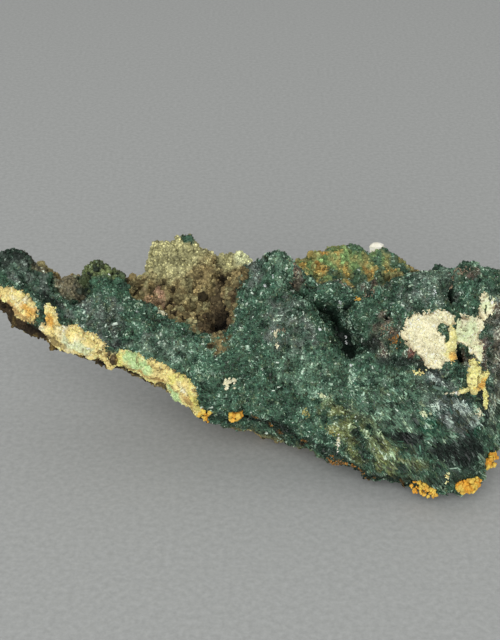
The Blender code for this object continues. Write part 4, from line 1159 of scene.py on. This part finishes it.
# How far up it each level is and how wide it is there, then its three axes in millimetres, and how far its
# middle stands from its seat.
CRYSTAL_SIDES = 6
CRYSTAL_LEVELS = ((-1.2, 0.95), (0.25, 0.9), (0.7, 0.5), (0.8, 0.0))
CRYSTAL_AXES = np.array(((1.0, 0.0, 0.05), (0.0, 0.55, 0.05), (-0.1, -0.05, 0.62)))
PERCH = (0.2, 0, 0.9)

seat_point = read_rock(rock_grid, *np.array(SEATS["white_crystal"][:2]).reshape(2, 1))[0]
turn = (np.arange(CRYSTAL_SIDES) + 0.3) / CRYSTAL_SIDES * 2 * np.pi
shape = np.array(
    [(radius * np.cos(a), radius * np.sin(a), up) for up, radius in CRYSTAL_LEVELS[:-1] for a in turn]
    + [(0.1, 0, CRYSTAL_LEVELS[-1][0]), (0, 0, CRYSTAL_LEVELS[0][0])]
)
points = seat_point + PERCH + shape @ CRYSTAL_AXES
k = np.arange(CRYSTAL_SIDES)
after = (k + 1) % CRYSTAL_SIDES
i = np.arange(len(CRYSTAL_LEVELS) - 2)[:, None] * CRYSTAL_SIDES
walls = np.stack([i + k, i + after, i + CRYSTAL_SIDES + after, i + CRYSTAL_SIDES + k], -1).reshape(-1)
top = i[-1] + CRYSTAL_SIDES
cap = np.stack([top + k, top + after, np.full(CRYSTAL_SIDES, len(points) - 2)], -1).ravel()
base = np.stack([after, k, np.full(CRYSTAL_SIDES, len(points) - 1)], -1).ravel()
mesh = new_mesh(
    "white_crystal",
    points,
    np.concatenate([walls, cap, base]),
    np.concatenate([np.full(len(walls) // 4, 4), np.full(2 * CRYSTAL_SIDES, 3)]),
)


def clouded_finish(name, scale, detail, noise_roughness, stops, roughness):
    """A finish that goes from one colour to another between two heights of a noise, given as its stops."""
    material, shader, add, join = new_finish(name)
    band = add("ShaderNodeValToRGB")
    for element, (position, colour) in zip(band.color_ramp.elements, stops):
        element.position = position
        element.color = (*colour, 1)
    join(noise_on(add, join, scale, detail, noise_roughness), band.inputs["Fac"])
    join(band.outputs["Color"], shader.inputs["Base Color"])
    shader.inputs["Roughness"].default_value = roughness
    return material


MILKY = ((0.35, (0.78, 0.74, 0.58)), (0.65, (0.92, 0.90, 0.82)))
crystal_finish = clouded_finish("white_crystal", 1800, 3, 0.55, MILKY, 0.28)
add_piece("milky_crystal", mesh, crystal_finish, ("white_crystal",))

# The floor, the light and the camera.
# The specimen lies on a plain pale grey board under one broad soft light from the front and above, and the
# camera looks down on its green front as the photograph does.

FLOOR_HALF, FLOOR_DROP = 400.0, 0.01
PALE_GREY = ((0.36, (0.360, 0.370, 0.360)), (0.64, (0.435, 0.446, 0.435)))
corners = np.array(((-1, -1, 0), (1, -1, 0), (1, 1, 0), (-1, 1, 0)), float) * FLOOR_HALF
floor_mesh = new_mesh("floor", corners + ORIGIN - (0, 0, FLOOR_DROP), np.arange(4), np.array((4,)))
floor_mesh.materials.append(clouded_finish("floor_board", 1500, 6, 0.7, PALE_GREY, 0.9))
floor = bpy.data.objects.new("floor", floor_mesh)
bpy.context.scene.collection.objects.link(floor)

world = bpy.data.worlds.new("soft_room")
bpy.context.scene.world = world
world.use_nodes = True
sky = world.node_tree.nodes["Background"].inputs
sky["Color"].default_value = (1.0, 1.0, 1.0, 1)
sky["Strength"].default_value = 0.5


def soft_light(name, place, aim, size, power):
    """A square soft light at a place in millimetres, aimed at a point."""
    lamp = bpy.data.lights.new(name, "AREA")
    lamp.size = size * MM
    lamp.energy = power
    light = bpy.data.objects.new(name, lamp)
    light.location = Vector(place) * MM
    light.rotation_euler = (Vector(aim) - Vector(place)).to_track_quat("-Z", "Y").to_euler()
    bpy.context.scene.collection.objects.link(light)


soft_light("window", place=(-120, -700, 420), aim=(0, 0, 10), size=800, power=6.4)

# The camera stands off by its distance along a line 30 degrees above the level, and one pixel of the 640 up
# the frame is a ninth of a millimetre at its target.
TARGET = Vector((0.0, 0.35, 17.2)) - Vector(ORIGIN)
DISTANCE, DOWNWARD = 140.0, math.radians(30)
FRAME_ROWS, PIXEL = 640, 0.11

lens = bpy.data.cameras.new("camera")
lens.sensor_fit = "VERTICAL"
lens.sensor_height = 24.0
lens.lens = lens.sensor_height * DISTANCE / (FRAME_ROWS * PIXEL)
lens.clip_start = 0.001
camera = bpy.data.objects.new("camera", lens)
camera.location = (TARGET - Vector((0, math.cos(DOWNWARD), -math.sin(DOWNWARD))) * DISTANCE) * MM
camera.rotation_euler = (math.pi / 2 - DOWNWARD, 0, 0)
bpy.context.scene.collection.objects.link(camera)
bpy.context.scene.camera = camera
bpy.context.scene.view_settings.view_transform = "Standard"
